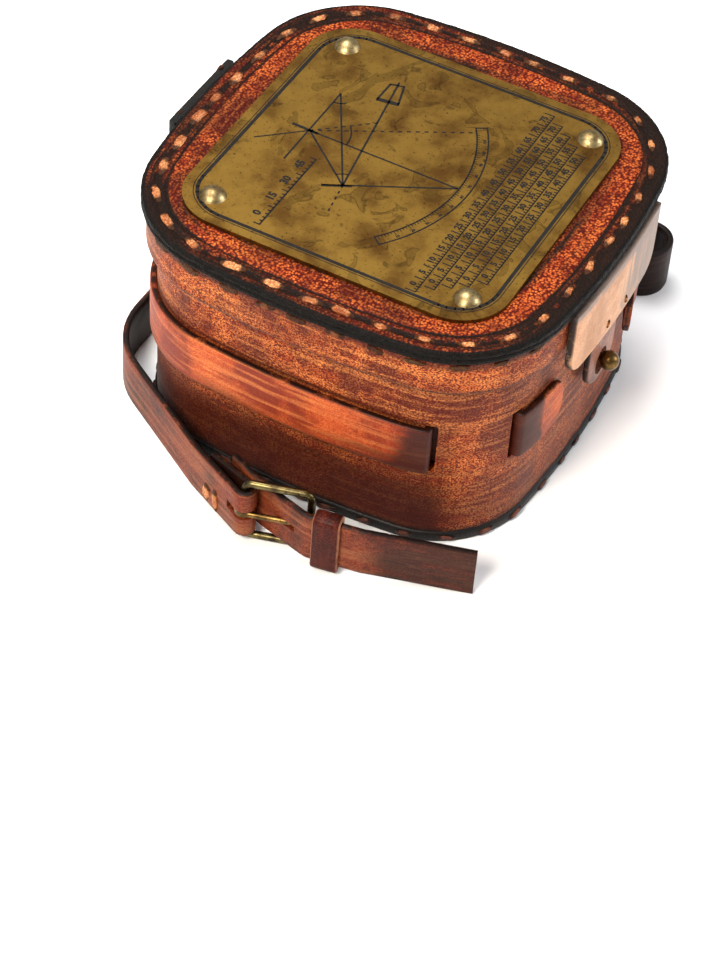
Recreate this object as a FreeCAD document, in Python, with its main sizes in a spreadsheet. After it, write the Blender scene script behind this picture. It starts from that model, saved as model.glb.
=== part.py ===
import FreeCAD, Part
import math
import os
import Sketcher

# A hand-made leather instrument case: a rounded square box of saddle leather whose deep lid
# turns back on a leather hinge, a brass plate riveted on the lid, a closure flap whose tongue
# buttons over a brass stud, a strap threaded through slots in the wall, and a carrying strap
# with a wire buckle that lies round the foot of the case.
# The origin is the centre of the base, +Z is up, the stud is on -Y and the hinge on +Y.

SIZES = {
    # outline of the case wall, seen from above
    "case_half": 62.0,
    "corner_radius": 31.0,
    "side_radius": 276.0,
    # leather of the box
    "wall_thick": 3.0,
    "base_thick": 4.0,
    "base_lip": 0.6,
    "case_height": 79.7,
    "lid_panel_thick": 4.0,
    "lid_inner_gap": 1.2,
    "skirt_gap": 0.8,
    "skirt_thick": 2.7,
    "skirt_depth": 12.7,
    "rim_overhang": 1.6,
    "rim_round": 1.2,
    # brass plate and its rivets
    "plate_room_x": 12.0,
    "plate_room_y": 11.5,
    "plate_corner": 15.2,
    "plate_thick": 1.2,
    "plate_shift_x": 1.2,
    "plate_shift_y": 0.7,
    "rivet_inset": 10.4,
    "rivet_head_radius": 4.0,
    "rivet_head_rise": 2.4,
    "rivet_shank_radius": 1.6,
    "rivet_fit": 0.05,
    "burr_radius": 4.4,
    "burr_thick": 0.9,
    "rivet_tail": 0.5,
    # lacing
    "lace_width": 2.4,
    "lace_thick": 0.8,
    "lace_length": 7.0,
    "lace_pitch": 12.0,
    "lace_inset": 4.6,
    "lace_drop": 2.2,
    "lace_seat": 0.02,
    # hinge leather
    "hinge_width": 34.0,
    "hinge_thick": 2.4,
    "hinge_drop": 13.0,
    "hinge_knee": 4.4,
    "hinge_stitch_rise": 1.0,
    "hinge_split": 0.4,
    # closure
    "closure_shift": 1.5,
    "flap_width": 57.0,
    "flap_thick": 2.4,
    "flap_root": 4.4,
    "flap_reach": 18.0,
    "flap_corner": 6.0,
    "flap_split": 0.3,
    "flap_gap": 0.3,
    "tongue_width": 18.0,
    "tongue_thick": 2.0,
    "tongue_corner": 8.2,
    "tongue_lap": 8.0,
    "tongue_reach": 24.0,
    "stud_hole_radius": 3.7,
    "stud_hole_slot": 2.4,
    # stud
    "stud_drop": 42.7,
    "stud_ball_radius": 3.0,
    "stud_neck_radius": 1.4,
    "stud_flange_radius": 3.6,
    "stud_flange_thick": 0.8,
    "stud_neck_length": 3.2,
    "screw_head_radius": 3.2,
    "screw_head_thick": 1.2,
    "washer_radius": 5.0,
    "washer_thick": 0.8,
    "washer_seat": 0.1,
    "screw_slot_width": 0.8,
    # straps
    "strap_width": 17.0,
    "strap_thick": 2.0,
    "strap_gap": 0.3,
    "band_low": 29.5,
    "slot_clearance": 0.3,
    "tip_reach": 20.0,
    "tip_lift": 3.0,
    "lift_reach": 30.0,
    # where the carrying strap runs, on its middle line
    "back_run_gap": 8.5,
    "right_run_gap": 24.0,
    "right_bend": 34.0,
    "splice_back": 25.0,
    "splice_ahead": 5.0,
    "splice_bend": 40.0,
    "bight_width": 16.0,
    "bight_start_inset": 22.0,
    "bight_end_inset": 6.0,
    "bight_bend": 7.6,
    "loop_inset": 16.0,
    "loop_bend": 25.0,
    "run_bend": 18.0,
    "bar_out": 21.0,
    "bar_back": 4.0,
    # buckle
    "wire_radius": 1.2,
    "frame_length": 19.3,
    "frame_clearance": 0.7,
    "frame_corner": 2.4,
    "prong_radius": 0.9,
    "prong_clearance": 0.15,
    "prong_play": 1.5,
    "bar_clearance": 0.1,
    "prong_overlap": 0.6,
    "fold_gap": 0.3,
    "fold_length": 18.0,
    "fold_slot_gap": 0.6,
    "billet_tip": 12.0,
    "billet_bend": 8.0,
    "keeper_run": 17.0,
    "tail_length": 32.0,
    "keeper_at": 6.2,
    "keeper_length": 8.0,
    "keeper_thick": 1.6,
    "keeper_gap": 0.3,
}

# angles in degrees
SLOT_ANGLE = 20.0
ARC_STEP = 10.0
FINE_STEP = 0.5
RUN_ANGLE = 24.0
FRAME_ANGLE = -16.6
KEEPER_ANGLE = -10.0
TAIL_ANGLE = -22.0

QUARTER = 90

# where the stitches that hold the carrying strap sit, as shares of its length and width
SPLICE_SHARES = (0.5, 0.8)
LEVEL_SHARES = (0.3, 0.7)
RUN_LACE_SHARE = 0.28


class Size(float):
    """A number that also carries the sheet expression it came from."""

    def __new__(cls, value, text):
        made = float.__new__(cls, value)
        made.text = text
        return made

    def _join(self, other, sign, value):
        text = other.text if isinstance(other, Size) else repr(other)
        return Size(value, "(%s %s %s)" % (self.text, sign, text))

    def __add__(self, other):
        return self._join(other, "+", float(self) + float(other))

    def __sub__(self, other):
        return self._join(other, "-", float(self) - float(other))

    def __mul__(self, other):
        return self._join(other, "*", float(self) * float(other))

    def __truediv__(self, other):
        return self._join(other, "/", float(self) / float(other))

    def __neg__(self):
        return Size(-float(self), "(-%s)" % self.text)


doc = FreeCAD.newDocument("leather_case")
sheet = doc.addObject("Spreadsheet::Sheet", "Sizes")
for row, (alias, number) in enumerate(SIZES.items(), start=1):
    sheet.set("A%d" % row, alias)
    sheet.set("B%d" % row, str(number))
    sheet.setAlias("B%d" % row, alias)
doc.recompute()


def size(alias):
    return Size(sheet.get(alias), "Sizes." + alias)


case_half = size("case_half")
corner_radius = size("corner_radius")
side_radius = size("side_radius")
wall_thick = size("wall_thick")
base_thick = size("base_thick")
skirt_gap = size("skirt_gap")
skirt_thick = size("skirt_thick")
lid_panel_thick = size("lid_panel_thick")
strap_width = size("strap_width")
strap_thick = size("strap_thick")
strap_gap = size("strap_gap")
band_low = size("band_low")
wire_radius = size("wire_radius")
lace_width = size("lace_width")
lace_thick = size("lace_thick")

lid_under = size("case_height") - lid_panel_thick
wall_top = lid_under - size("lid_inner_gap")
skirt_low = lid_under - size("skirt_depth")
skirt_outer_offset = skirt_gap + skirt_thick
rim_offset = skirt_outer_offset + size("rim_overhang")

parts = []


def vec(x, y, z=0.0):
    return FreeCAD.Vector(float(x), float(y), float(z))


def keep(obj, label):
    """Name one finished piece and put it on the list that is written out."""
    obj.Label = label
    parts.append(obj)
    return obj


def bind(obj, prop, value):
    obj.setExpression(prop, value.text)


def feature(label, shape):
    """A piece whose shape is worked out here from the sheet's sizes."""
    obj = doc.addObject("Part::Feature", label)
    obj.Shape = shape
    return keep(obj, label)


# the rounded square outline, as four flat side arcs and four corner arcs

def arc_centres():
    """Distance of the side arc centres and of the corner arc centres from the axis."""
    side = float(side_radius) - float(case_half)
    reach = float(side_radius) - float(corner_radius)
    corner = (-side + math.sqrt(2 * reach * reach - side * side)) / 2
    return side, corner


def side_limit():
    """Half the angle that a side arc covers, in degrees."""
    side, corner = arc_centres()
    return math.degrees(math.atan2(corner, corner + side))


def outline_point(turn, offset):
    """Point on the outline, moved outwards by offset, where the normal points to turn."""
    side, corner = arc_centres()
    turn = turn % 360.0
    quarter = round(turn / 90.0)
    direction = vec(math.cos(math.radians(turn)), math.sin(math.radians(turn)))
    if abs(turn - 90.0 * quarter) <= side_limit():
        axis = math.radians(90.0 * quarter)
        centre = vec(-side * math.cos(axis), -side * math.sin(axis))
        return centre + direction * (float(side_radius) + float(offset))
    centre = vec(math.copysign(corner, direction.x), math.copysign(corner, direction.y))
    return centre + direction * (float(corner_radius) + float(offset))


def turn_at(distance):
    """Angle from the side's axis of the outline point at this distance along the side."""
    return math.degrees(math.asin(float(distance) / float(side_radius)))


def add_outline(sketch, offset):
    """Draw the outline moved outwards by offset, and bind its radii and places to the sheet."""
    side, corner = arc_centres()
    limit = side_limit()
    up = FreeCAD.Vector(0, 0, 1)
    big = side_radius + offset
    small = corner_radius + offset
    arcs = []
    for quarter in range(4):
        axis = math.radians(90.0 * quarter)
        centre = vec(-side * math.cos(axis), -side * math.sin(axis))
        ring = Part.Circle(centre, up, float(big))
        low = math.radians(90.0 * quarter - limit)
        high = math.radians(90.0 * quarter + limit)
        arcs.append(sketch.addGeometry(Part.ArcOfCircle(ring, low, high)))
        middle = math.radians(90.0 * quarter + 45.0)
        centre = vec(math.copysign(corner, math.cos(middle)), math.copysign(corner, math.sin(middle)))
        ring = Part.Circle(centre, up, float(small))
        low = math.radians(90.0 * quarter + limit)
        high = math.radians(90.0 * quarter + 90.0 - limit)
        arcs.append(sketch.addGeometry(Part.ArcOfCircle(ring, low, high)))
    for here, there in zip(arcs, arcs[1:] + arcs[:1]):
        sketch.addConstraint(Sketcher.Constraint("Tangent", here, 2, there, 1))
    for index, arc in enumerate(arcs):
        radius = small if index % 2 else big
        number = sketch.addConstraint(Sketcher.Constraint("Radius", arc, float(radius)))
        sketch.setExpression("Constraints[%d]" % number, radius.text)
    for quarter in range(4):
        arc = arcs[2 * quarter]
        across = -1 if quarter % 2 == 0 else -2
        sketch.addConstraint(Sketcher.Constraint("PointOnObject", arc, 3, across))


def plane_of(body, role):
    for plane in body.Origin.OriginFeatures:
        if plane.Role == role:
            return plane
    raise ValueError(role)


def new_sketch(body, name, role="XY_Plane", height=None):
    sketch = body.newObject("Sketcher::SketchObject", name)
    sketch.AttachmentSupport = (plane_of(body, role), [""])
    sketch.MapMode = "FlatFace"
    if height is not None:
        sketch.AttachmentOffset = FreeCAD.Placement(vec(0, 0, height), FreeCAD.Rotation())
        sketch.setExpression("AttachmentOffset.Base.z", height.text)
    return sketch


def outline_body(label, offsets, tall, low=None):
    """A body padded from one outline, or from the ring between two."""
    body = doc.addObject("PartDesign::Body", label)
    sketch = new_sketch(body, label + "_outline", height=low)
    for offset in offsets:
        add_outline(sketch, offset)
    pad = body.newObject("PartDesign::Pad", label + "_pad")
    pad.Profile = sketch
    pad.Length = float(tall)
    bind(pad, "Length", tall)
    return body, pad


def round_top(body, pad, label, radius, height):
    """Fillet the outer edges at one height."""
    doc.recompute()
    names = []
    for number, edge in enumerate(pad.Shape.Edges, start=1):
        box = edge.BoundBox
        if abs(box.ZMin - float(height)) < float(radius) / 100 and box.ZLength < float(radius) / 100:
            names.append("Edge%d" % number)
    fillet = body.newObject("PartDesign::Fillet", label + "_fillet")
    fillet.Base = (pad, names)
    fillet.Radius = float(radius)
    bind(fillet, "Radius", radius)
    return fillet


def box_object(label, length, width, height, place):
    box = doc.addObject("Part::Box", label)
    bind(box, "Length", length)
    bind(box, "Width", width)
    bind(box, "Height", height)
    box.Placement = place
    return box


def placed(x, y, z, turn=0.0):
    return FreeCAD.Placement(vec(x, y, z), FreeCAD.Rotation(FreeCAD.Vector(0, 0, 1), turn))


# base, wall, skirt and lid panel

base_body, base_pad = outline_body("base_panel", [size("base_lip")], base_thick)
round_top(base_body, base_pad, "base_panel", size("base_lip"), base_thick)
keep(base_body, "base_panel")

wall_body, wall_pad = outline_body("wall_ring", [0, -wall_thick], wall_top - base_thick, base_thick)

skirt_body, skirt_pad = outline_body(
    "lid_skirt", [skirt_outer_offset, skirt_gap], lid_under - skirt_low, skirt_low)
keep(skirt_body, "lid_skirt")

lid_body, lid_pad = outline_body("lid_panel_blank", [rim_offset], lid_panel_thick, lid_under)
round_top(lid_body, lid_pad, "lid_panel_blank", size("rim_round"), size("case_height"))
doc.recompute()


def cutter_group(label, cutters):
    group = doc.addObject("Part::Compound", label)
    group.Links = cutters
    return group


def cut(label, base, tool):
    made = doc.addObject("Part::Cut", label)
    made.Base = base
    made.Tool = tool
    return keep(made, label)


# slots in the wall for the strap, one pair at each front corner, and the stud's hole

slot_width = strap_thick + size("slot_clearance") * 2
slot_height = strap_width + size("slot_clearance") * 2
slot_low = band_low - size("slot_clearance")
slot_turns = [180.0 + SLOT_ANGLE, 270.0 - SLOT_ANGLE, 270.0 + SLOT_ANGLE, 360.0 - SLOT_ANGLE]
slot_depth = wall_thick * 3
slots = []
for number, turn in enumerate(slot_turns, start=1):
    centre = outline_point(turn, -float(wall_thick) / 2)
    frame = placed(centre.x, centre.y, slot_low, turn)
    shift = placed(-float(slot_depth) / 2, -float(slot_width) / 2, 0)
    slots.append(box_object("slot_%d" % number, slot_depth, slot_width, slot_height, frame * shift))

closure_x = size("closure_shift")
stud_z = size("case_height") - size("stud_drop")
arc_y = math.sqrt(float(side_radius) ** 2 - float(closure_x) ** 2)
front_y = float(side_radius) - float(case_half) - arc_y
along_y = FreeCAD.Rotation(FreeCAD.Vector(1, 0, 0), 90.0)


def rod_object(label, radius, length, start_y):
    """A round bar on the stud's axis, from start_y outwards, towards -Y."""
    bar_object = doc.addObject("Part::Cylinder", label)
    bind(bar_object, "Radius", radius)
    bind(bar_object, "Height", length)
    bar_object.Placement = FreeCAD.Placement(vec(closure_x, start_y, stud_z), along_y)
    return bar_object


neck_radius = size("stud_neck_radius")
stud_bore = rod_object(
    "stud_bore", neck_radius + size("rivet_fit"), wall_thick * 3, front_y + float(wall_thick) * 2)
cut("case_wall", wall_body, cutter_group("wall_cutters", slots + [stud_bore]))


# brass plate, its rivets and the burrs under the lid panel

rivet_radius = size("rivet_shank_radius")
rivet_bore = rivet_radius + size("rivet_fit")
plate_x = -float(size("plate_shift_x"))
plate_y = float(size("plate_shift_y"))
plate_half_x = case_half - size("plate_room_x")
plate_half_y = case_half - size("plate_room_y")
rivet_x = plate_half_x - size("rivet_inset")
rivet_y = plate_half_y - size("rivet_inset")
rivet_places = [
    (plate_x + sx * float(rivet_x), plate_y + sy * float(rivet_y)) for sx in (-1, 1) for sy in (-1, 1)]


def bores(label, low, tall):
    made = []
    for number, (x, y) in enumerate(rivet_places, start=1):
        bore = doc.addObject("Part::Cylinder", "%s_%d" % (label, number))
        bind(bore, "Radius", rivet_bore)
        bind(bore, "Height", tall)
        bore.Placement = placed(x, y, low)
        made.append(bore)
    return cutter_group(label, made)


cut("lid_panel", lid_body, bores("lid_bores", lid_under - lid_panel_thick, lid_panel_thick * 3))

plate_box = box_object(
    "plate_blank", plate_half_x * 2, plate_half_y * 2, size("plate_thick"),
    placed(plate_x - float(plate_half_x), plate_y - float(plate_half_y), size("case_height")))
doc.recompute()
plate_round = doc.addObject("Part::Fillet", "plate_round")
plate_round.Base = plate_box
corner_edges = []
for number, edge in enumerate(plate_box.Shape.Edges, start=1):
    if edge.BoundBox.ZLength > float(size("plate_thick")) / 2:
        corner_edges.append((number, float(size("plate_corner")), float(size("plate_corner"))))
plate_round.Edges = corner_edges
doc.recompute()
plate_bores = bores("plate_bores", size("case_height") - lid_panel_thick, lid_panel_thick * 3)
cut("brass_plate", plate_round, plate_bores)

plate_top = size("case_height") + size("plate_thick")


def rivet(x, y):
    """A shank with a shallow domed head above and its peened end below."""
    rise = float(size("rivet_head_rise"))
    head = float(size("rivet_head_radius"))
    ball = (head * head + rise * rise) / (2 * rise)
    lift = math.degrees(math.asin((ball - rise) / ball))
    dome = Part.makeSphere(ball, vec(0, 0, rise - ball), vec(0, 0, 1), lift, 90, 360)
    low = float(lid_under) - float(size("burr_thick")) - float(size("rivet_tail"))
    tall = float(plate_top) - low
    shank = Part.makeCylinder(float(rivet_radius), tall + rise / 2, vec(0, 0, -tall))
    made = dome.fuse(shank).removeSplitter()
    made.translate(vec(x, y, plate_top))
    return made


def burr(x, y):
    low = float(lid_under) - float(size("burr_thick"))
    ring = Part.makeCylinder(float(size("burr_radius")), float(size("burr_thick")), vec(x, y, low))
    deep = float(lid_panel_thick)
    hole = Part.makeCylinder(float(rivet_bore), deep, vec(x, y, low - deep / 2))
    return ring.cut(hole)


feature("plate_rivets", Part.makeCompound([rivet(x, y) for x, y in rivet_places]))
feature("rivet_burrs", Part.makeCompound([burr(x, y) for x, y in rivet_places]))


# lacing: short flat stitches of lace at an even pitch round an outline

def outline_turns(offset, pitch):
    """Angles at which points of the outline lie one pitch apart."""
    fine = [outline_point(step * FINE_STEP, offset) for step in range(round(360 / FINE_STEP) + 1)]
    total = sum((b - a).Length for a, b in zip(fine, fine[1:]))
    count = round(total / float(pitch))
    spacing = total / count
    turns = []
    walked = 0.0
    for step, (a, b) in enumerate(zip(fine, fine[1:])):
        if walked >= len(turns) * spacing and len(turns) < count:
            turns.append(step * FINE_STEP)
        walked += (b - a).Length
    return turns


def flat_stitch(turn, offset, low):
    """A stitch that lies on a level face, along the outline."""
    length, width, thick = float(size("lace_length")), float(lace_width), float(lace_thick)
    bar = Part.makeBox(width, length, thick, vec(-width / 2, -length / 2))
    point = outline_point(turn, offset)
    bar.Placement = placed(point.x, point.y, low, turn)
    return bar


def wall_stitch(turn, offset, middle):
    """A stitch that stands on the wall's outer face, along the outline."""
    length, width, thick = float(size("lace_length")), float(lace_width), float(lace_thick)
    bar = Part.makeBox(thick, length, width, vec(0, -length / 2, -width / 2))
    point = outline_point(turn, offset)
    bar.Placement = placed(point.x, point.y, middle, turn)
    return bar


lace_seat = float(size("lace_seat"))
top_lace_offset = float(rim_offset) - float(size("lace_inset"))
top_lace = [flat_stitch(turn, top_lace_offset, float(size("case_height")) + lace_seat)
            for turn in outline_turns(top_lace_offset, size("lace_pitch"))]
feature("lid_top_lacing", Part.makeCompound(top_lace))


def clear_of(turn, middle, width):
    """True where a stitch stays outside a stretch of the given width about middle."""
    reach = turn_at(float(width) / 2 + float(size("lace_length")) / 2 + float(lace_width))
    away = abs((turn - middle + 180.0) % 360.0 - 180.0)
    return away > reach


# stitch height under the rim
side_lace_z = float(lid_under) - float(size("lace_drop"))
# side stitches sit just outside the skirt, on the stretch of wall that no flap or hinge covers
flap_stretch = size("flap_width") + closure_x * 2
side_lace = []
for turn in outline_turns(skirt_outer_offset, size("lace_pitch")):
    if clear_of(turn, 270.0, flap_stretch) and clear_of(turn, 90.0, size("hinge_width")):
        side_lace.append(wall_stitch(turn, skirt_outer_offset + lace_seat, side_lace_z))
feature("lid_side_lacing", Part.makeCompound(side_lace))

base_lace_offset = float(size("base_lip"))
base_lace = [wall_stitch(turn, base_lace_offset + lace_seat, float(base_thick) / 2)
             for turn in outline_turns(base_lace_offset, size("lace_pitch"))]
feature("base_lacing", Part.makeCompound(base_lace))

# hinge leather: the upper half rides with the lid, the lower half stays on the wall

hinge_width = size("hinge_width")
hinge_thick = size("hinge_thick")
hinge_split = size("hinge_split")
hinge_y = case_half + rim_offset + lace_seat
hinge_outer = hinge_y + hinge_thick
hinge_top = size("case_height") - size("rim_round")
lid_leaf = box_object(
    "hinge_leaf_lid", hinge_width, hinge_thick, hinge_top - skirt_low - hinge_split / 2,
    placed(-float(hinge_width) / 2, hinge_y, skirt_low + hinge_split / 2))
keep(lid_leaf, "hinge_leaf_lid")


def profile_prism(label, points, width, x_low):
    """A profile in the YZ plane, padded along +X."""
    corners = [vec(x_low, y, z) for y, z in points]
    face = Part.Face(Part.makePolygon(corners + corners[:1]))
    return feature(label, face.extrude(vec(width, 0, 0)))


case_leaf_top = skirt_low - hinge_split / 2
case_leaf_low = skirt_low - size("hinge_drop")
case_leaf_y = case_half + strap_gap
case_leaf_knee = case_leaf_low + size("hinge_knee")
profile_prism(
    "hinge_leaf_case",
    [(hinge_y, case_leaf_top), (hinge_outer, case_leaf_top),
     (case_leaf_y + hinge_thick, case_leaf_knee), (case_leaf_y + hinge_thick, case_leaf_low),
     (case_leaf_y, case_leaf_low), (case_leaf_y, case_leaf_knee)],
    hinge_width, -float(hinge_width) / 2)


def hinge_stitches(face_y, heights):
    """Pairs of upright stitches on an outer face of the hinge leather."""
    length, width, thick = float(size("lace_length")) / 2, float(lace_width), float(lace_thick)
    made = []
    for middle in heights:
        for side in (-1, 1):
            x = side * (float(hinge_width) / 2 - 2 * width) - width / 2
            made.append(Part.makeBox(width, thick, length, vec(x, face_y + lace_seat, middle - length / 2)))
    return Part.makeCompound(made)


lid_stitch_z = [lid_under + size("hinge_stitch_rise")]
case_stitch_z = [(case_leaf_knee + case_leaf_low) / 2]
feature("hinge_stitches_lid", hinge_stitches(hinge_outer, lid_stitch_z))
feature("hinge_stitches_case", hinge_stitches(case_leaf_y + hinge_thick, case_stitch_z))

# closure: the root of the flap under the rim, the flap, its tongue and the stitches between

flap_thick = size("flap_thick")
flap_gap = size("flap_gap")
flap_width = size("flap_width")
tongue_thick = size("tongue_thick")
skirt_front = case_half + skirt_outer_offset
flap_front = skirt_front + flap_gap + flap_thick
flap_low_x = float(closure_x) - float(flap_width) / 2
root_low = lid_under - size("flap_root")
root = box_object(
    "flap_root", flap_width, flap_gap + flap_thick, size("flap_root") - flap_gap / 2,
    placed(flap_low_x, -flap_front, root_low))
keep(root, "flap_root")

flap_top = root_low - size("flap_split")
flap_low = flap_top - size("flap_reach")


def upright_plate(name, middle_x, wide, top, low, radius, thick, outer_y, slot=None):
    """A body padded from an upright outline with round lower corners, towards +Y."""
    body = doc.addObject("PartDesign::Body", name)
    sketch = new_sketch(body, name + "_outline", "XZ_Plane", outer_y)
    left, right = float(middle_x) - float(wide) / 2, float(middle_x) + float(wide) / 2
    r = float(radius)
    corners = [(left, top), (left, low + r), (left + r, low),
               (right - r, low), (right, low + r), (right, top)]
    spots = [vec(x, z) for x, z in corners]
    lines = []
    for a, b in ((0, 1), (2, 3), (4, 5), (5, 0)):
        lines.append(sketch.addGeometry(Part.LineSegment(spots[a], spots[b])))
    diagonal = r * math.cos(math.radians(45.0))
    left_mid = vec(left + r - diagonal, low + r - diagonal)
    right_mid = vec(right - r + diagonal, low + r - diagonal)
    left_arc = sketch.addGeometry(Part.Arc(spots[1], left_mid, spots[2]))
    right_arc = sketch.addGeometry(Part.Arc(spots[3], right_mid, spots[4]))
    if slot:
        drop, slot_r = slot
        upper = vec(closure_x, stud_z)
        lower = vec(closure_x, stud_z - drop)
        side = vec(slot_r, 0)
        lift = vec(0, slot_r)
        sketch.addGeometry(Part.Arc(upper - side, upper + lift, upper + side))
        sketch.addGeometry(Part.LineSegment(upper + side, lower + side))
        sketch.addGeometry(Part.Arc(lower + side, lower - lift, lower - side))
        sketch.addGeometry(Part.LineSegment(lower - side, upper - side))
    for arc in (left_arc, right_arc):
        number = sketch.addConstraint(Sketcher.Constraint("Radius", arc, r))
        sketch.setExpression("Constraints[%d]" % number, radius.text)
    number = sketch.addConstraint(Sketcher.Constraint("DistanceX", lines[3], 2, lines[3], 1, float(wide)))
    sketch.setExpression("Constraints[%d]" % number, wide.text)
    pad = body.newObject("PartDesign::Pad", name + "_pad")
    pad.Profile = sketch
    pad.Length = float(thick)
    bind(pad, "Length", thick)
    pad.Reversed = True
    return body


flap = upright_plate(
    "closure_flap", closure_x, flap_width, flap_top, flap_low, size("flap_corner"), flap_thick, flap_front)
keep(flap, "closure_flap")

tongue_top = flap_low + size("tongue_lap")
tongue_low = flap_low - size("tongue_reach")
tongue_front = flap_front - flap_thick
tongue = upright_plate(
    "flap_tongue", closure_x, size("tongue_width"), tongue_top, tongue_low, size("tongue_corner"),
    tongue_thick, tongue_front, (size("stud_hole_slot"), size("stud_hole_radius")))
keep(tongue, "flap_tongue")


def flap_stitches():
    """Two upright stitches on the flap's face that hold the tongue behind it."""
    length, width, thick = float(size("lace_length")) / 2, float(lace_width) / 2, float(lace_thick)
    made = []
    for side in (-1, 1):
        x = float(closure_x) + side * float(size("tongue_width")) / 3 - width / 2
        low = float(flap_low) + float(size("tongue_lap")) / 2 - length / 2
        made.append(Part.makeBox(width, thick, length, vec(x, -flap_front - thick - lace_seat, low)))
    return Part.makeCompound(made)


feature("flap_stitches", flap_stitches())

# stud: a turned ball on a neck and flange outside, a slotted screw and a washer inside


def rod(radius, length, start_y):
    """The same bar as a plain shape."""
    return Part.makeCylinder(float(radius), float(length), vec(closure_x, start_y, stud_z), vec(0, -1, 0))


flange_thick = size("stud_flange_thick")
neck_length = size("stud_neck_length")
ball_radius = size("stud_ball_radius")
ball_sink = float(ball_radius) - math.sqrt(float(ball_radius) ** 2 - float(neck_radius) ** 2)
flange_y = -float(case_half) - lace_seat
ball_y = flange_y - float(flange_thick) - float(neck_length) - float(ball_radius) + 2 * ball_sink
stud = rod(size("stud_flange_radius"), flange_thick, flange_y)
neck_reach = float(neck_length) + float(ball_radius)
stud = stud.fuse(rod(neck_radius, neck_reach, flange_y - float(flange_thick) / 2))
stud = stud.fuse(Part.makeSphere(float(ball_radius), vec(closure_x, ball_y, stud_z)))
feature("stud_ball", stud.removeSplitter())

inner_y = -float(case_half) + float(wall_thick) + float(size("washer_seat"))
washer_thick = size("washer_thick")
washer = rod(size("washer_radius"), washer_thick, inner_y + float(washer_thick))
washer = washer.cut(rod(neck_radius + size("rivet_fit"), wall_thick * 3, inner_y + float(wall_thick)))
feature("stud_washer", washer)

head_thick = size("screw_head_thick")
head_y = inner_y + float(washer_thick)
screw = rod(size("screw_head_radius"), head_thick, head_y + float(head_thick))
screw = screw.fuse(rod(neck_radius, head_y - flange_y, head_y)).removeSplitter()
slot_half = float(size("screw_head_radius")) * 2
driver_width = float(size("screw_slot_width"))
driver_y = head_y + float(head_thick) / 2
driver_low = vec(float(closure_x) - slot_half, driver_y, float(stud_z) - driver_width / 2)
driver_slot = Part.makeBox(2 * slot_half, float(head_thick) / 2, driver_width, driver_low)
feature("stud_screw", screw.cut(driver_slot))


# straps: flat ribbons that stand on edge, lofted through upright sections along a route

def ribbon(stations, width=strap_width, thick=strap_thick):
    """A strap along a list of (point, low edge), with mitred bends."""
    wires = []
    for number, (point, low) in enumerate(stations):
        before = stations[max(number - 1, 0)][0]
        after = stations[min(number + 1, len(stations) - 1)][0]
        arrive = point - before if number else after - point
        leave = after - point if number < len(stations) - 1 else arrive
        arrive = vec(arrive.x, arrive.y).normalize()
        leave = vec(leave.x, leave.y).normalize()
        along = (arrive + leave).normalize()
        across = vec(-along.y, along.x) * (float(thick) / 2 / along.dot(arrive))
        base = vec(point.x, point.y, low)
        rise = vec(0, 0, width)
        corners = [base - across, base + across, base + across + rise, base - across + rise]
        wires.append(Part.makePolygon(corners + corners[:1]))
    return Part.makeLoft(wires, True, True)


def marks_between(start, end):
    """Angles from start to end, close together on the flat side arcs, wider on the corners."""
    low, high = min(start, end), max(start, end)
    marks = {start, end}
    for degree in range(math.ceil(low), math.floor(high) + 1):
        away = abs(degree - QUARTER * round(degree / QUARTER))
        if (away <= side_limit() and degree % 2 == 0) or (away > side_limit() and degree % 9 == 0):
            marks.add(float(degree))
    for quarter in range(-2, 5):
        for limit in (-side_limit(), side_limit()):
            if low < QUARTER * quarter + limit < high:
                marks.add(QUARTER * quarter + limit)
    ordered = sorted(marks)
    return ordered if start <= end else ordered[::-1]


def along_outline(start, end, offset, low):
    return [(outline_point(turn, offset), float(low)) for turn in marks_between(start, end)]


outside = float(strap_gap) + float(strap_thick) / 2
inside = -float(wall_thick) - outside
tip_turn = turn_at(size("tip_reach"))
lift_turn = turn_at(size("lift_reach"))
left_out, left_in = 270.0 - SLOT_ANGLE, 180.0 + SLOT_ANGLE
right_in, right_out = -SLOT_ANGLE, SLOT_ANGLE - 90.0
band = along_outline(270.0 - tip_turn, left_out, outside, band_low)
band += along_outline(left_out, left_in, inside, band_low)
band += along_outline(left_in, right_in, outside, band_low)
band += along_outline(right_in, right_out, inside, band_low)
band += along_outline(right_out, lift_turn - 90.0, outside, band_low)
band.append((outline_point(tip_turn - 90.0, outside + float(size("tip_lift"))), float(band_low)))
feature("side_strap", ribbon(band))


def route(points):
    """Stations along a route of (x, y, low edge, bend radius), with round bends."""
    made = []
    for number, (x, y, low, radius) in enumerate(points):
        here = vec(x, y)
        if number in (0, len(points) - 1) or not radius:
            made.append((here, float(low)))
            continue
        back = (vec(*points[number - 1][:2]) - here).normalize()
        ahead = (vec(*points[number + 1][:2]) - here).normalize()
        opening = back.getAngle(ahead)
        reach = float(radius) / math.tan(opening / 2)
        centre = here + (back + ahead).normalize() * (float(radius) / math.sin(opening / 2))
        first = here + back * reach - centre
        swing = math.pi - opening
        turn = math.copysign(1, back.cross(first).z)
        steps = max(1, math.ceil(math.degrees(swing) / ARC_STEP))
        for step in range(steps + 1):
            angle = turn * swing * step / steps
            spoke = vec(
                first.x * math.cos(angle) - first.y * math.sin(angle),
                first.x * math.sin(angle) + first.y * math.cos(angle))
            made.append((centre + spoke, float(low)))
    return made


# carrying strap: laced to the band on +X, down to the floor, round the back and on to the buckle

def heading(angle):
    """Level direction that starts at -Y and turns towards -X by an angle in degrees."""
    return vec(-math.sin(math.radians(angle)), -math.cos(math.radians(angle)))


def outward(direction):
    """Level direction square to another, on the side away from the case."""
    return vec(direction.y, -direction.x)


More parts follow.
